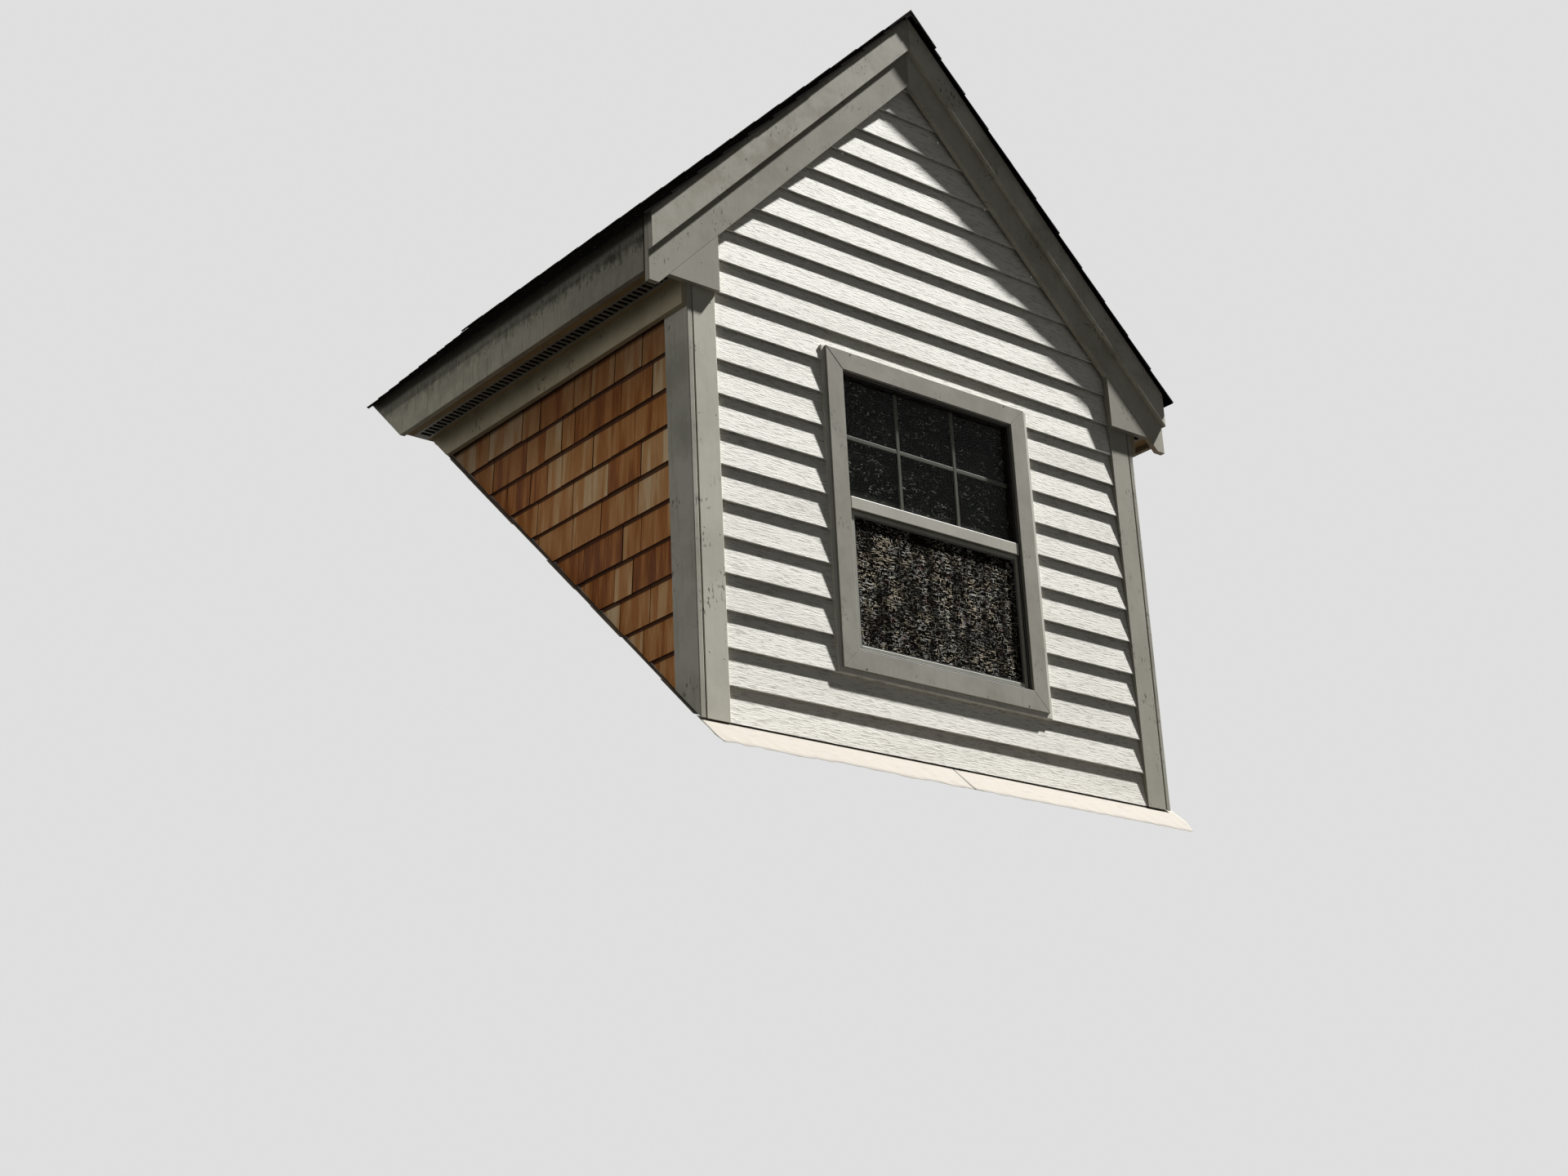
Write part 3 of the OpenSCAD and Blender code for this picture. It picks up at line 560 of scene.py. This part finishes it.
def courses_tree():
    """Lays tapered pieces of random widths side by side, in rows that lap one another up a slope.
    They start at the origin and run along X. Rows go up Z, and Y points out of the surface."""
    tree, given = new_tree("laid_in_courses", {
        "Int": "rows per_row seed", "Material": "face edge",
        "Float": "course length narrowest widest joint ragged slip butt head thinnest"})

    # Each piece's width, thickness and tone, and where it goes
    index = add(tree, "GeometryNodeInputIndex")
    counted = add(tree, *SUM, {0: index, 1: 0.5})
    turns = add(tree, *OVER, {0: counted, 1: given["per_row"]})
    row = add(tree, "ShaderNodeMath", {"operation": "FLOOR"}, {0: turns})
    own = add(tree, "ShaderNodeSeparateXYZ", inputs={0: add(
        tree, "FunctionNodeRandomValue", {"data_type": "FLOAT_VECTOR"}, {
            0: add(tree, "ShaderNodeCombineXYZ", inputs={0: given["narrowest"], 1: given["thinnest"]}),
            1: add(tree, "ShaderNodeCombineXYZ", inputs={0: given["widest"], 1: 1.0, 2: 1.0}),
            7: index, 8: given["seed"]})})
    width, thinness, tone = own.outputs
    slip = add(tree, "FunctionNodeRandomValue", inputs={2: 0.0, 3: given["slip"], 7: index, 8: 7})
    ragged = add(tree, "FunctionNodeRandomValue", inputs={2: 0.0, 3: given["ragged"], 7: row, 8: 3})
    taken = add(tree, *SUM, {0: width, 1: given["joint"]})
    before = add(tree, "GeometryNodeAccumulateField", inputs={0: taken, 1: row})
    left = add(tree, *SUM, {0: before.outputs["Trailing"], 1: ragged})
    rise = add(tree, *TIMES_PLUS, {0: row, 1: given["course"], 2: slip})
    count = add(tree, *TIMES, {0: given["rows"], 1: given["per_row"]})
    points = add(tree, "GeometryNodeSetPosition", inputs={
        "Geometry": add(tree, "GeometryNodePoints", inputs={0: count}),
        "Position": add(tree, "ShaderNodeCombineXYZ", inputs={0: left, 2: rise})})

    # One piece, 1 m wide, that is thick at its butt and thins towards its head
    block = add(tree, "GeometryNodeMeshCube", inputs={"Size": (1.0, 1.0, 1.0)})
    corner = add(tree, "ShaderNodeVectorMath", {"operation": "ADD"}, {
        0: add(tree, "GeometryNodeInputPosition"), 1: (0.5, 0.5, 0.5)})
    at = add(tree, "ShaderNodeSeparateXYZ", inputs={0: corner}).outputs
    high = add(tree, *TIMES, {0: at[2], 1: given["length"]})
    run = add(tree, *OVER, {0: high, 1: given["course"]})
    slimming = add(tree, *LESS, {0: given["head"], 1: given["butt"]})
    thick = add(tree, *TIMES_PLUS, {0: slimming, 1: run, 2: given["butt"]})
    thick = add(tree, *MOST, {0: thick, 1: 0.0006})
    deep = add(tree, *TIMES, {0: at[1], 1: thick})
    marked = add(tree, "GeometryNodeStoreNamedAttribute", inputs={
        "Geometry": block, "Name": "run", "Value": run})
    wedge = add(tree, "GeometryNodeSetPosition", inputs={
        "Geometry": marked,
        "Position": add(tree, "ShaderNodeCombineXYZ", inputs={0: at[0], 1: deep, 2: high})})

    laid = add(tree, "GeometryNodeInstanceOnPoints", inputs={
        "Points": points, "Instance": wedge,
        "Scale": add(tree, "ShaderNodeCombineXYZ", inputs={0: width, 1: thinness, 2: 1.0})})
    toned = add(tree, "GeometryNodeStoreNamedAttribute", {"domain": "INSTANCE"}, {
        "Geometry": laid, "Name": "tone", "Value": tone})
    real = add(tree, "GeometryNodeRealizeInstances", inputs={0: toned})
    faced = add(tree, "GeometryNodeSetMaterial", inputs={"Geometry": real, "Material": given["face"]})
    outward = add(tree, "ShaderNodeSeparateXYZ", inputs={0: add(tree, "GeometryNodeInputNormal")}).outputs[1]
    rim = add(tree, "ShaderNodeMath", {"operation": "LESS_THAN"}, {0: outward, 1: 0.5})
    edged = add(tree, "GeometryNodeSetMaterial", inputs={
        "Geometry": faced, "Selection": rim, "Material": given["edge"]})
    add(tree, "NodeGroupOutput", inputs={0: edged})
    return tree


def nails_tree():
    """A row of round nail heads that face the front, from the first by equal steps."""
    tree, given = new_tree("row_of_nails", {
        "Int": "count seed", "Vector": "first step wander", "Float": "radius height", "Material": "head"})
    line = add(tree, "GeometryNodeMeshLine", inputs={
        "Count": given["count"], "Start Location": given["first"], "Offset": given["step"]})
    strayed = add(tree, "FunctionNodeRandomValue", {"data_type": "FLOAT_VECTOR"}, {
        0: (-1.0, -1.0, -1.0), 1: (1.0, 1.0, 1.0), 8: given["seed"]})
    aside = add(tree, "ShaderNodeVectorMath", {"operation": "MULTIPLY"}, {0: strayed, 1: given["wander"]})
    places = add(tree, "GeometryNodeSetPosition", inputs={"Geometry": line, "Offset": aside})
    head = add(tree, "GeometryNodeMeshCylinder", inputs={
        "Vertices": 10, "Radius": given["radius"], "Depth": given["height"]})
    struck = add(tree, "GeometryNodeInstanceOnPoints", inputs={
        "Points": places, "Instance": head, "Rotation": (pi / 2, 0.0, 0.0)})
    real = add(tree, "GeometryNodeRealizeInstances", inputs={0: struck})
    finished = add(tree, "GeometryNodeSetMaterial", inputs={"Geometry": real, "Material": given["head"]})
    add(tree, "NodeGroupOutput", inputs={0: finished})
    return tree


def from_tree(tree, **values):
    """Runs a Geometry Nodes tree with the given inputs. Returns a bmesh and the materials that it uses."""
    holder = stand("holder", bpy.data.meshes.new("holder"))
    modifier = holder.modifiers.new("tree", "NODES")
    modifier.node_group = tree
    for item in tree.interface.items_tree:
        if item.in_out == "INPUT" and item.name in values:
            modifier[item.identifier] = values[item.name]
    graph = bpy.context.evaluated_depsgraph_get()
    mesh = bpy.data.meshes.new_from_object(holder.evaluated_get(graph), preserve_all_data_layers=True,
                                           depsgraph=graph)
    bpy.data.objects.remove(holder)
    bm = bmesh.new()
    bm.from_mesh(mesh)
    return bm, list(mesh.materials)


def placing(origin, along, out, up):
    """The matrix that takes X, Y and Z to along, out and up, and the origin to its place."""
    columns = [Vector(v).normalized() for v in (along, out, up)]
    return Matrix([[column[r] for column in columns] + [origin[r]] for r in range(3)] + [[0, 0, 0, 1]])


def laid(place, **values):
    """Pieces laid in courses as a bmesh, in their place, with the materials that they use."""
    bm, materials = from_tree(COURSES, **values)
    bm.transform(place)
    if place.determinant() < 0:
        bmesh.ops.reverse_faces(bm, faces=bm.faces)
    return bm, materials


def backing(place, thickness, front, low, high):
    """A thin sheet behind what is laid in courses, from the front to the back."""
    bm = bmesh.new()
    prism(bm, [(front, 0), (BACK, 0), (BACK, thickness), (front, thickness)], 2, low, high)
    bm.transform(place)
    bmesh.ops.recalc_face_normals(bm, faces=bm.faces)
    return bm


COURSES = courses_tree()
NAILS = nails_tree()


# Roof

def roof_covering(side, name):
    """The shingles of one slope over their underlayment, cut at the ridge and into the main roof."""
    slope = SHINGLE_EDGE / ROOF_COS
    place = placing((side * SHINGLE_EDGE, SHINGLE_FRONT, PEAK - SHINGLE_EDGE * ROOF_RISE),
                    (0, 1, 0), (side * ROOF_SIN, 0, ROOF_COS), (-side * ROOF_COS, 0, ROOF_SIN))
    bm, materials = laid(
        place, rows=ceil(slope / ROOF_COURSE), per_row=16, seed=11 + side, course=ROOF_COURSE,
        length=ROOF_COURSE * 1.2, narrowest=0.21, widest=0.37, joint=0.004, ragged=0.005, slip=0.002,
        butt=ROOF_BUTT, head=ROOF_HEAD, thinnest=0.88, face=GRANULES, edge=BITUMEN)
    under = backing(place, UNDERLAYMENT, 0.004, 0.003, slope)
    for sheet in (bm, under):
        cut(sheet, (0, 0, 0), (-side, 0, 0))
        cut_to_main_roof(sheet)
    piece(name + "_laid_shingles", bm, materials, [name + "_roof_shingles"])
    piece(name + "_underlayment", under, [BITUMEN])


def ridge_covering():
    """Folded caps over the ridge, each lapping the one behind it, with its butt to the front."""
    whole, lap = bmesh.new(), 0.02
    for side, _ in SIDES:
        out, down = Vector((side * ROOF_SIN, 0, ROOF_COS)), Vector((side * ROOF_COS, 0, -ROOF_SIN))
        bm, materials = laid(
            placing(Vector((0, SHINGLE_FRONT, PEAK)) + out * ROOF_BUTT - down * lap, down, out, (0, 1, 0)),
            rows=ceil((BACK - SHINGLE_FRONT) / CAP_COURSE), per_row=1, seed=5, course=CAP_COURSE,
            length=CAP_COURSE * 1.2, narrowest=CAP_WIDTH + lap, widest=CAP_WIDTH + lap,
            butt=CAP_BUTT, head=CAP_HEAD, thinnest=1.0, face=GRANULES, edge=BITUMEN)
        cut(bm, (0, 0, 0), (-side, 0, 0))
        join(whole, bm)
    cut_to_main_roof(whole)
    piece("folded_ridge_caps", whole, materials, ["ridge_cap"])


for side, name in SIDES:
    roof_covering(side, name)
ridge_covering()


# Siding and cedar

def siding_board(low):
    """The section of one board in y and z: a sloping face, a rolled butt and an open back."""
    def point(projection, height):
        return WALL_FRONT - projection, low + height
    lip, roll, top = SIDING_BUTT - SIDING_LIP, SIDING_ROLL, SIDING_COURSE + SIDING_TUCK
    return [point(lip, roll * 3), point(lip, roll / 2), point(lip + roll / 2, 0),
            point(SIDING_BUTT - roll, 0), point(SIDING_BUTT - roll * 0.3, roll * 0.3),
            point(SIDING_BUTT, roll), point(SIDING_HEAD, SIDING_COURSE),
            point(SIDING_HEAD - roll / 4, top), point(SIDING_HEAD - roll, top)]


def siding():
    """Lap boards in courses between the corner boards, cut round the window and along the rakes."""
    window_low, window_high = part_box("window_channel")
    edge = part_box("front_siding")[1].x
    first = TRIM_FRONT * MAIN_RISE + FOOT_GAP
    whole = bmesh.new()
    for k in range(ceil((PEAK - first) / SIDING_COURSE)):
        low = first + k * SIDING_COURSE
        high = low + SIDING_COURSE + SIDING_TUCK
        spans = [(-edge, window_low.x, None), (window_high.x, edge, None)]
        if low < window_low.z:
            spans.append((window_low.x, window_high.x, (window_low.z, 1)))
        if high > window_high.z:
            spans.append((window_low.x, window_high.x, (window_high.z, -1)))
        for start, end, limit in spans:
            board = bmesh.new()
            prism(board, siding_board(low), 0, start, end)
            if limit:
                cut(board, (0, 0, limit[0]), (0, 0, limit[1]))
            for side, _ in SIDES:
                cut(board, (0, 0, DECK_LOW), (side * ROOF_RISE, 0, 1))
            cut_to_main_roof(board, FOOT_GAP)
            join(whole, board)
    piece("lap_siding_boards", whole, [SIDING], ["front_siding"])


def cheek_cedar(side, name):
    """Cedar shingles of random widths in courses on one cheek, over a dark felt."""
    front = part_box(name + "_cheek_shingles")[0].y
    rows = ceil((SOFFIT - CEDAR_FIRST + CEDAR_COURSE) / CEDAR_COURSE) + 2
    low = SOFFIT - CEDAR_FIRST + CEDAR_COURSE - (rows - 1) * CEDAR_COURSE
    place = placing((side * SHEATH_X, front, low), (0, 1, 0), (side, 0, 0), (0, 0, 1))
    bm, materials = laid(
        place, rows=rows, per_row=24, seed=40 + side, course=CEDAR_COURSE, length=CEDAR_COURSE * 1.25,
        narrowest=0.06, widest=0.20, joint=0.003, ragged=0.003, slip=0.003,
        butt=CEDAR_BUTT, head=CEDAR_HEAD, thinnest=0.8, face=CEDAR, edge=CEDAR_EDGE)
    felt = backing(place, FELT, 0, 0, SOFFIT - low)
    for sheet in (bm, felt):
        cut(sheet, (0, 0, SOFFIT), (0, 0, 1))
        cut_to_main_roof(sheet, FOOT_GAP)
    piece(name + "_cedar_courses", bm, materials, [name + "_cheek_shingles"])
    piece(name + "_cheek_felt", felt, [BITUMEN])


siding()
for side, name in SIDES:
    cheek_cedar(side, name)


# Trim

def vent_mesh_and_shade(name):
    """The insect mesh that lies over a soffit vent's slots, drawn as an opaque black sheet that is also the
    painted shade of the roof space behind the slots.
    """
    low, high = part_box(name + "_soffit_vent")
    x0, x1, rest = low.x + 0.001, high.x - 0.001, high.z + CLEAR
    bm = bmesh.new()
    prism(bm, [(x0, low.y), (x1, low.y), (x1, high.y), (x0, high.y)], 2, rest, rest + MESH_THICK)
    cut_to_main_roof(bm)
    piece(name + "_vent_mesh_and_painted_shade", bm, [BITUMEN])


for side, name in SIDES:
    gaps = {"fascia": ((0, TRIM_FRONT + FASCIA_GAP, 0), (0, -1, 0)),
            "front_corner_board": ((side * (CORNER_EDGE - CORNER_GAP), 0, 0), (side, 0, 0))}
    for part, edge_radius, paint in (
            ("rake_board", 0.0016, RAKE_PAINT[name]), ("rake_frieze", 0.0016, RAKE_FRIEZE_PAINT[name]),
            ("rake_filler", 0.0012, FILLER_PAINT), ("soffit", 0.0010, SOFFIT_PAINT),
            ("fascia", 0.0016, FASCIA_PAINT), ("eave_frieze", 0.0015, EAVE_FRIEZE_PAINT),
            ("front_corner_board", 0.0020, CORNER_PAINT[name]),
            ("side_corner_board", 0.0025, SIDE_CORNER_PAINT)):
        eased(name + "_" + part, edge_radius, paint, gaps.get(part))
    paint_node(name + "_soffit_vent", VENT_VINYL)
    # The vent's mesh is also the painted shade behind its slots
    vent_mesh_and_shade(name)
    paint_node(name + "_rafters", RAFTER_LUMBER[name])
    paint_node(name + "_roof_deck", SHEATHING)
    paint_node(name + "_cheek_wall", SHEATHING)
paint_node("front_wall", SHEATHING)
paint_node("ridge_board", RIDGE_LUMBER)


def nails():
    """Nail heads: chipped paint over those in the corners and rakes, bare iron in the fillers and casing."""
    low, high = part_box("window_casing")
    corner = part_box("right_front_corner_board")
    corner_inset, foot, rise = 0.016, 0.14, 0.374
    filler_x, filler_z = 0.888, 1.345
    rake_x, run, drops = 0.12, 0.2, (0.2985, 0.435)
    casing_x, inset = 0.34, 0.008
    painted, bare, rows = bmesh.new(), bmesh.new(), []
    # A row is what it joins, its finish, radius, count and stray, its first nail and the step to the next
    for side, _ in SIDES:
        for x in (corner[0].x + corner_inset, corner[1].x - corner_inset):
            rows.append((painted, NAIL_PAINT, 0.0022, 4, 0.010, (side * x, TRIM_FRONT, foot), (0, 0, rise)))
        rows.append((bare, NAIL_IRON, 0.0022, 2, 0.0, (side * filler_x, TRIM_FRONT, filler_z),
                     (side * 0.021, 0, 0.002)))
        for drop in drops:
            rows.append((painted, NAIL_PAINT, 0.0018, 5, 0.010, (side * rake_x, FRIEZE_FRONT, PEAK - drop),
                         (side * run, 0, -run)))
        rows.append((bare, NAIL_IRON, 0.0026, 2, 0.0, (side * casing_x, CASING_FRONT, low.z + inset),
                     (0, 0, high.z - low.z - 2 * inset)))
    for seed, (bm, head, radius, count, stray, first, step) in enumerate(rows):
        found, _ = from_tree(NAILS, count=count, first=first, step=step, wander=(0.006, 0.0, stray),
                             radius=radius, height=0.0010, seed=seed, head=head)
        join(bm, found)
    piece("painted_nail_heads", painted, [NAIL_PAINT])
    piece("bare_nail_heads", bare, [NAIL_IRON])


nails()


# Window

def upper_light():
    """The sealed unit of the upper light: a clear pane, a grille and a spacer, and a pane behind that is
    painted near black as the room's shade.
    """
    low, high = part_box("upper_glass")
    outer, inner, bars, spacer = (bmesh.new() for _ in range(4))
    oblong(outer, low.x, high.x, low.z, high.z, low.y, low.y + PANE)
    piece("upper_clear_pane", outer, [CLEAR_PANE], ["upper_glass"])
    oblong(inner, low.x, high.x, low.z, high.z, high.y - PANE, high.y)
    piece("upper_inner_pane", inner, [UPPER_PANE], ["upper_glass"])

    middle, sixth, inset = (low.y + high.y) / 2, (high.x - low.x) / 6, 0.002
    wide, narrow, thin, thick = GRILLE_HALF, GRILLE_HALF - inset, GRILLE_THIN, GRILLE_THICK
    section = [(-wide, -thin), (-narrow, -thick), (narrow, -thick), (wide, -thin),
               (wide, thin), (narrow, thick), (-narrow, thick), (-wide, thin)]
    for x in (-sixth, sixth):
        prism(bars, [(x + a, middle + b) for a, b in section], 2, low.z + inset, high.z - inset)
    # The level bar is a little thinner, so that it runs inside the upright ones
    prism(bars, [(middle + b * 0.8, GRILLE_LEVEL + a) for a, b in section], 0, low.x + inset, high.x - inset)
    piece("upper_grille", bars, [GRILLE_BAR])
    surround(spacer, low, high, 0, SPACER_RIM, low.y + PANE, high.y - PANE)
    piece("upper_spacer", spacer, [DARK_VINYL])


def screen():
    """The half screen: rounded bars, the gasket that holds the mesh, and the mesh."""
    low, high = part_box("insect_screen")
    third, middle = low.y + (high.y - low.y) * 0.35, (low.y + high.y) / 2
    bars, gasket, mesh = (bmesh.new() for _ in range(3))
    surround(bars, low, high, 0, SCREEN_RIM, low.y, high.y)
    ease(bars, 0.0018)
    piece("screen_bars", bars, [SCREEN_BAR], ["insect_screen"])
    surround(gasket, low, high, SCREEN_RIM, SCREEN_GASKET, third, high.y - 0.001)
    piece("screen_gasket", gasket, [DARK_VINYL])
    oblong(mesh, low.x + SCREEN_RIM, high.x - SCREEN_RIM, low.z + SCREEN_RIM, high.z - SCREEN_RIM,
           middle, middle + MESH_THICK)
    piece("screen_mesh", mesh, [SCREEN_MESH])


def painted_mitre_shadow():
    """The casing's one open mitre, at its upper left corner: a dark strip on the casing's face, which is a
    painted shadow of the gap between its two lengths.
    """
    low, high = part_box("window_casing")
    bm, half = bmesh.new(), MITRE_SHADOW_WIDTH / 2
    ends = [(low.x + inset, high.z - inset) for inset in (0.002, CASING_WIDTH - 0.001)]
    prism(bm, [(x, z + rise) for (x, z), rise in zip(ends + ends[::-1], (-half, -half, half, half))],
          1, CASING_FRONT - CLEAR, CASING_FRONT + 0.002)
    piece("painted_mitre_shadow_strip", bm, [BITUMEN])


def shade_underside(obj, shade_finish):
    """Gives the faces that look down a darker finish, as painted shade under the piece."""
    obj.data.materials.append(shade_finish)
    for polygon in obj.data.polygons:
        polygon.material_index = 1 if polygon.normal.z < -0.5 else 0


eased("window_casing", 0.0014, CASING_PAINT)
eased("window_channel", 0.0008, CHANNEL_VINYL)
# A painted shadow strip over the casing's upper left mitre
painted_mitre_shadow()
eased("window_frame", 0.0010, DARK_VINYL)
# The meeting rail's underside takes the screen bars' darker finish as painted shade
shade_underside(eased("meeting_rail", 0.0020, PALE_VINYL), SCREEN_BAR)
eased("lower_sash", 0.0015, PALE_VINYL)
# The lower glass is painted near black as the room's shade, with painted reflections
paint_node("lower_glass", LOWER_PANE)
upper_light()
screen()


# Flashing

def apron():
    """Two lapped lengths of apron flashing, crinkled, with a wavy front edge."""
    whole = bmesh.new()
    low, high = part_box("front_flashing")
    reach = TRIM_FRONT - low.y
    step, rows, sheet, crinkle, held = 0.012, 7, 0.0008, 0.004, 0.25
    lap, lap_lift = (-0.01, 0.03), 0.0012
    # The edge waves about every 300 and 70 mm, and draws back to a share of its reach at each end
    long_wave, short_wave, steady = 3.1, 14, 0.80
    (right_end, right_share), (left_end, left_share) = (0.05, 0.45), (0.04, 0.7)
    for start, end, lift in ((low.x, lap[1], 0.0), (lap[0], high.x, lap_lift)):
        count = ceil((end - start) / step)
        layers = []
        for thick in (sheet, 0.0):
            grid = []
            for i in range(count + 1):
                x = start + (end - start) * i / count
                wave = 0.5 + 0.5 * noise.noise((x * long_wave, 7.0, 0))
                wave += 0.25 * noise.noise((x * short_wave, 3.0, 0))
                taper = min(1.0, (high.x - x) / right_end + right_share)
                taper *= min(1.0, (x - low.x) / left_end + left_share)
                front = TRIM_FRONT - reach * min(1.0, steady + (1 - steady) * wave) * taper
                line = []
                for j in range(rows + 1):
                    y = WALL_FRONT + (front - WALL_FRONT) * j / rows
                    loose = max(0.0, j / rows - held)
                    folds = noise.noise((x * 22, y * 18, 5.0)) + 0.5 * noise.noise((x * 55, y * 40, 1.0))
                    z = y * MAIN_RISE + max(0.0, crinkle * loose * (0.6 + folds)) + lift * loose + thick
                    line.append(whole.verts.new((x, y, z)))
                grid.append(line)
            layers.append(grid)
        top, bottom = layers
        for i in range(count):
            for j in range(rows):
                whole.faces.new((top[i][j], top[i][j + 1], top[i + 1][j + 1], top[i + 1][j]))
                whole.faces.new((bottom[i][j], bottom[i + 1][j], bottom[i + 1][j + 1], bottom[i][j + 1]))
            for j in (0, rows):
                whole.faces.new((top[i][j], top[i + 1][j], bottom[i + 1][j], bottom[i][j]))
        for i in (0, count):
            for j in range(rows):
                whole.faces.new((top[i][j], top[i][j + 1], bottom[i][j + 1], bottom[i][j]))
    bmesh.ops.recalc_face_normals(whole, faces=whole.faces)
    obj = piece("crinkled_apron", whole, [FLASHING], ["front_flashing"])
    for polygon in obj.data.polygons:
        polygon.use_smooth = True


def step_flashing(side, name):
    """Short bent lengths up one cheek's foot: each lies on the roof over the one below, and stands up behind
    the shingles."""
    low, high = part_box(name + "_step_flashing")
    reach = max(abs(low.x), abs(high.x)) - SHEATH_X
    run = (high.y - low.y) * Vector((1, MAIN_RISE)).length
    bm, materials = laid(
        placing((side * SHEATH_X, low.y, low.y * MAIN_RISE), (side, 0, 0), MAIN_OUT, MAIN_UP),
        rows=ceil(run / STEP_COURSE), per_row=1, seed=60 + side, course=STEP_COURSE, length=STEP_COURSE * 1.3,
        narrowest=reach * 0.66, widest=reach, slip=0.012, butt=STEP_BUTT, head=STEP_HEAD, thinnest=0.7,
        face=FLASHING, edge=FLASHING)
    upstand = bmesh.new()
    prism(upstand, [(y, y * MAIN_RISE + up) for y, up in (
        (low.y, 0), (high.y, 0), (high.y, FOOT_GAP), (low.y, FOOT_GAP))], 0,
        side * SHEATH_X, side * (SHEATH_X + STEP_SHEET))
    join(bm, upstand)
    cut(bm, (0, high.y, 0), (0, 1, 0))
    piece(name + "_lapped_flashing", bm, materials, [name + "_step_flashing"])


apron()
for side, name in SIDES:
    step_flashing(side, name)


# Floor, light and camera

FLOOR_Z, FLOOR_REACH = -5.2, 150
CAMERA_PLACE = (-4.7675, -4.9105, -2.0217)
TURN, LIFT, ROLL = radians(-40.3917), radians(20.7994), radians(-2.7835)
SENSOR, LENS, SIGHT = 36.0, 53.162, 500.0


def studio_floor():
    """A plain pale floor, well under the dormer because the picture is taken from below it."""
    bm = bmesh.new()
    bmesh.ops.create_grid(bm, x_segments=2, y_segments=2, size=FLOOR_REACH)
    bm.transform(Matrix.Translation((0, 0, FLOOR_Z)))
    material, tree = finish("plain_floor", roughness=0.9, shine=0.1)
    pale = stain(tree, "#8F8E8D", "#8B8A89", spread(tree, 3.0), 1.0)
    bounced = stain(tree, pale, "#2A2928", add(tree, "ShaderNodeLightPath").outputs["Is Diffuse Ray"], 1.0)
    obj = solid("floor", bm, [skin(material, bounced, spread(tree, 0.02), 0.0002)])


def world(fill, seen):
    """Even light of the strength fill, and of the strength seen where the camera, gloss or glass looks."""
    made = bpy.data.worlds.new("studio")
    bpy.context.scene.world = made
    made.use_nodes = True
    tree = made.node_tree
    background = tree.nodes["Background"]
    background.inputs["Color"].default_value = (1.0, 1.0, 1.0, 1.0)
    ray = add(tree, "ShaderNodeLightPath").outputs
    looked_at = add(tree, *MOST, {0: ray["Is Glossy Ray"], 1: ray["Is Transmission Ray"]})
    looked_at = add(tree, *MOST, {0: looked_at, 1: ray["Is Camera Ray"]})
    strength = add(tree, "ShaderNodeMapRange", inputs={"Value": looked_at, "To Min": fill, "To Max": seen})
    tree.links.new(strength.outputs["Result"], background.inputs["Strength"])


def sun(name, towards, strength, softness):
    """A lamp far away, in the direction given from the object."""
    data = bpy.data.lights.new(name, "SUN")
    data.energy, data.angle = strength, radians(softness)
    stand(name, data).rotation_euler = Vector(towards).to_track_quat("Z", "Y").to_euler()


def camera():
    """The photograph's camera, solved from the dormer's straight edges: low, on the left, looking up."""
    ahead = Vector((-sin(TURN) * cos(LIFT), cos(TURN) * cos(LIFT), sin(LIFT)))
    right = ahead.cross(Vector((0, 0, 1))).normalized()
    above = right.cross(ahead)
    across = right * cos(ROLL) + above * sin(ROLL)
    data = bpy.data.cameras.new("camera")
    data.sensor_width, data.lens, data.clip_end = SENSOR, LENS, SIGHT
    obj = stand("camera", data)
    obj.matrix_world = placing(CAMERA_PLACE, across, (-ahead).cross(across), -ahead)
    bpy.context.scene.camera = obj


studio_floor()
world(fill=0.06, seen=0.74)
sun("key", towards=(3.3, -1.0, 4.7), strength=9.6, softness=2.0)
sun("left_fill", towards=(-1.0, 0.3, 0.24), strength=0.62, softness=30.0)
sun("back_fill", towards=(0.0, 1.0, 0.5), strength=1.2, softness=25.0)
camera()
bpy.context.scene.view_settings.view_transform = "Standard"
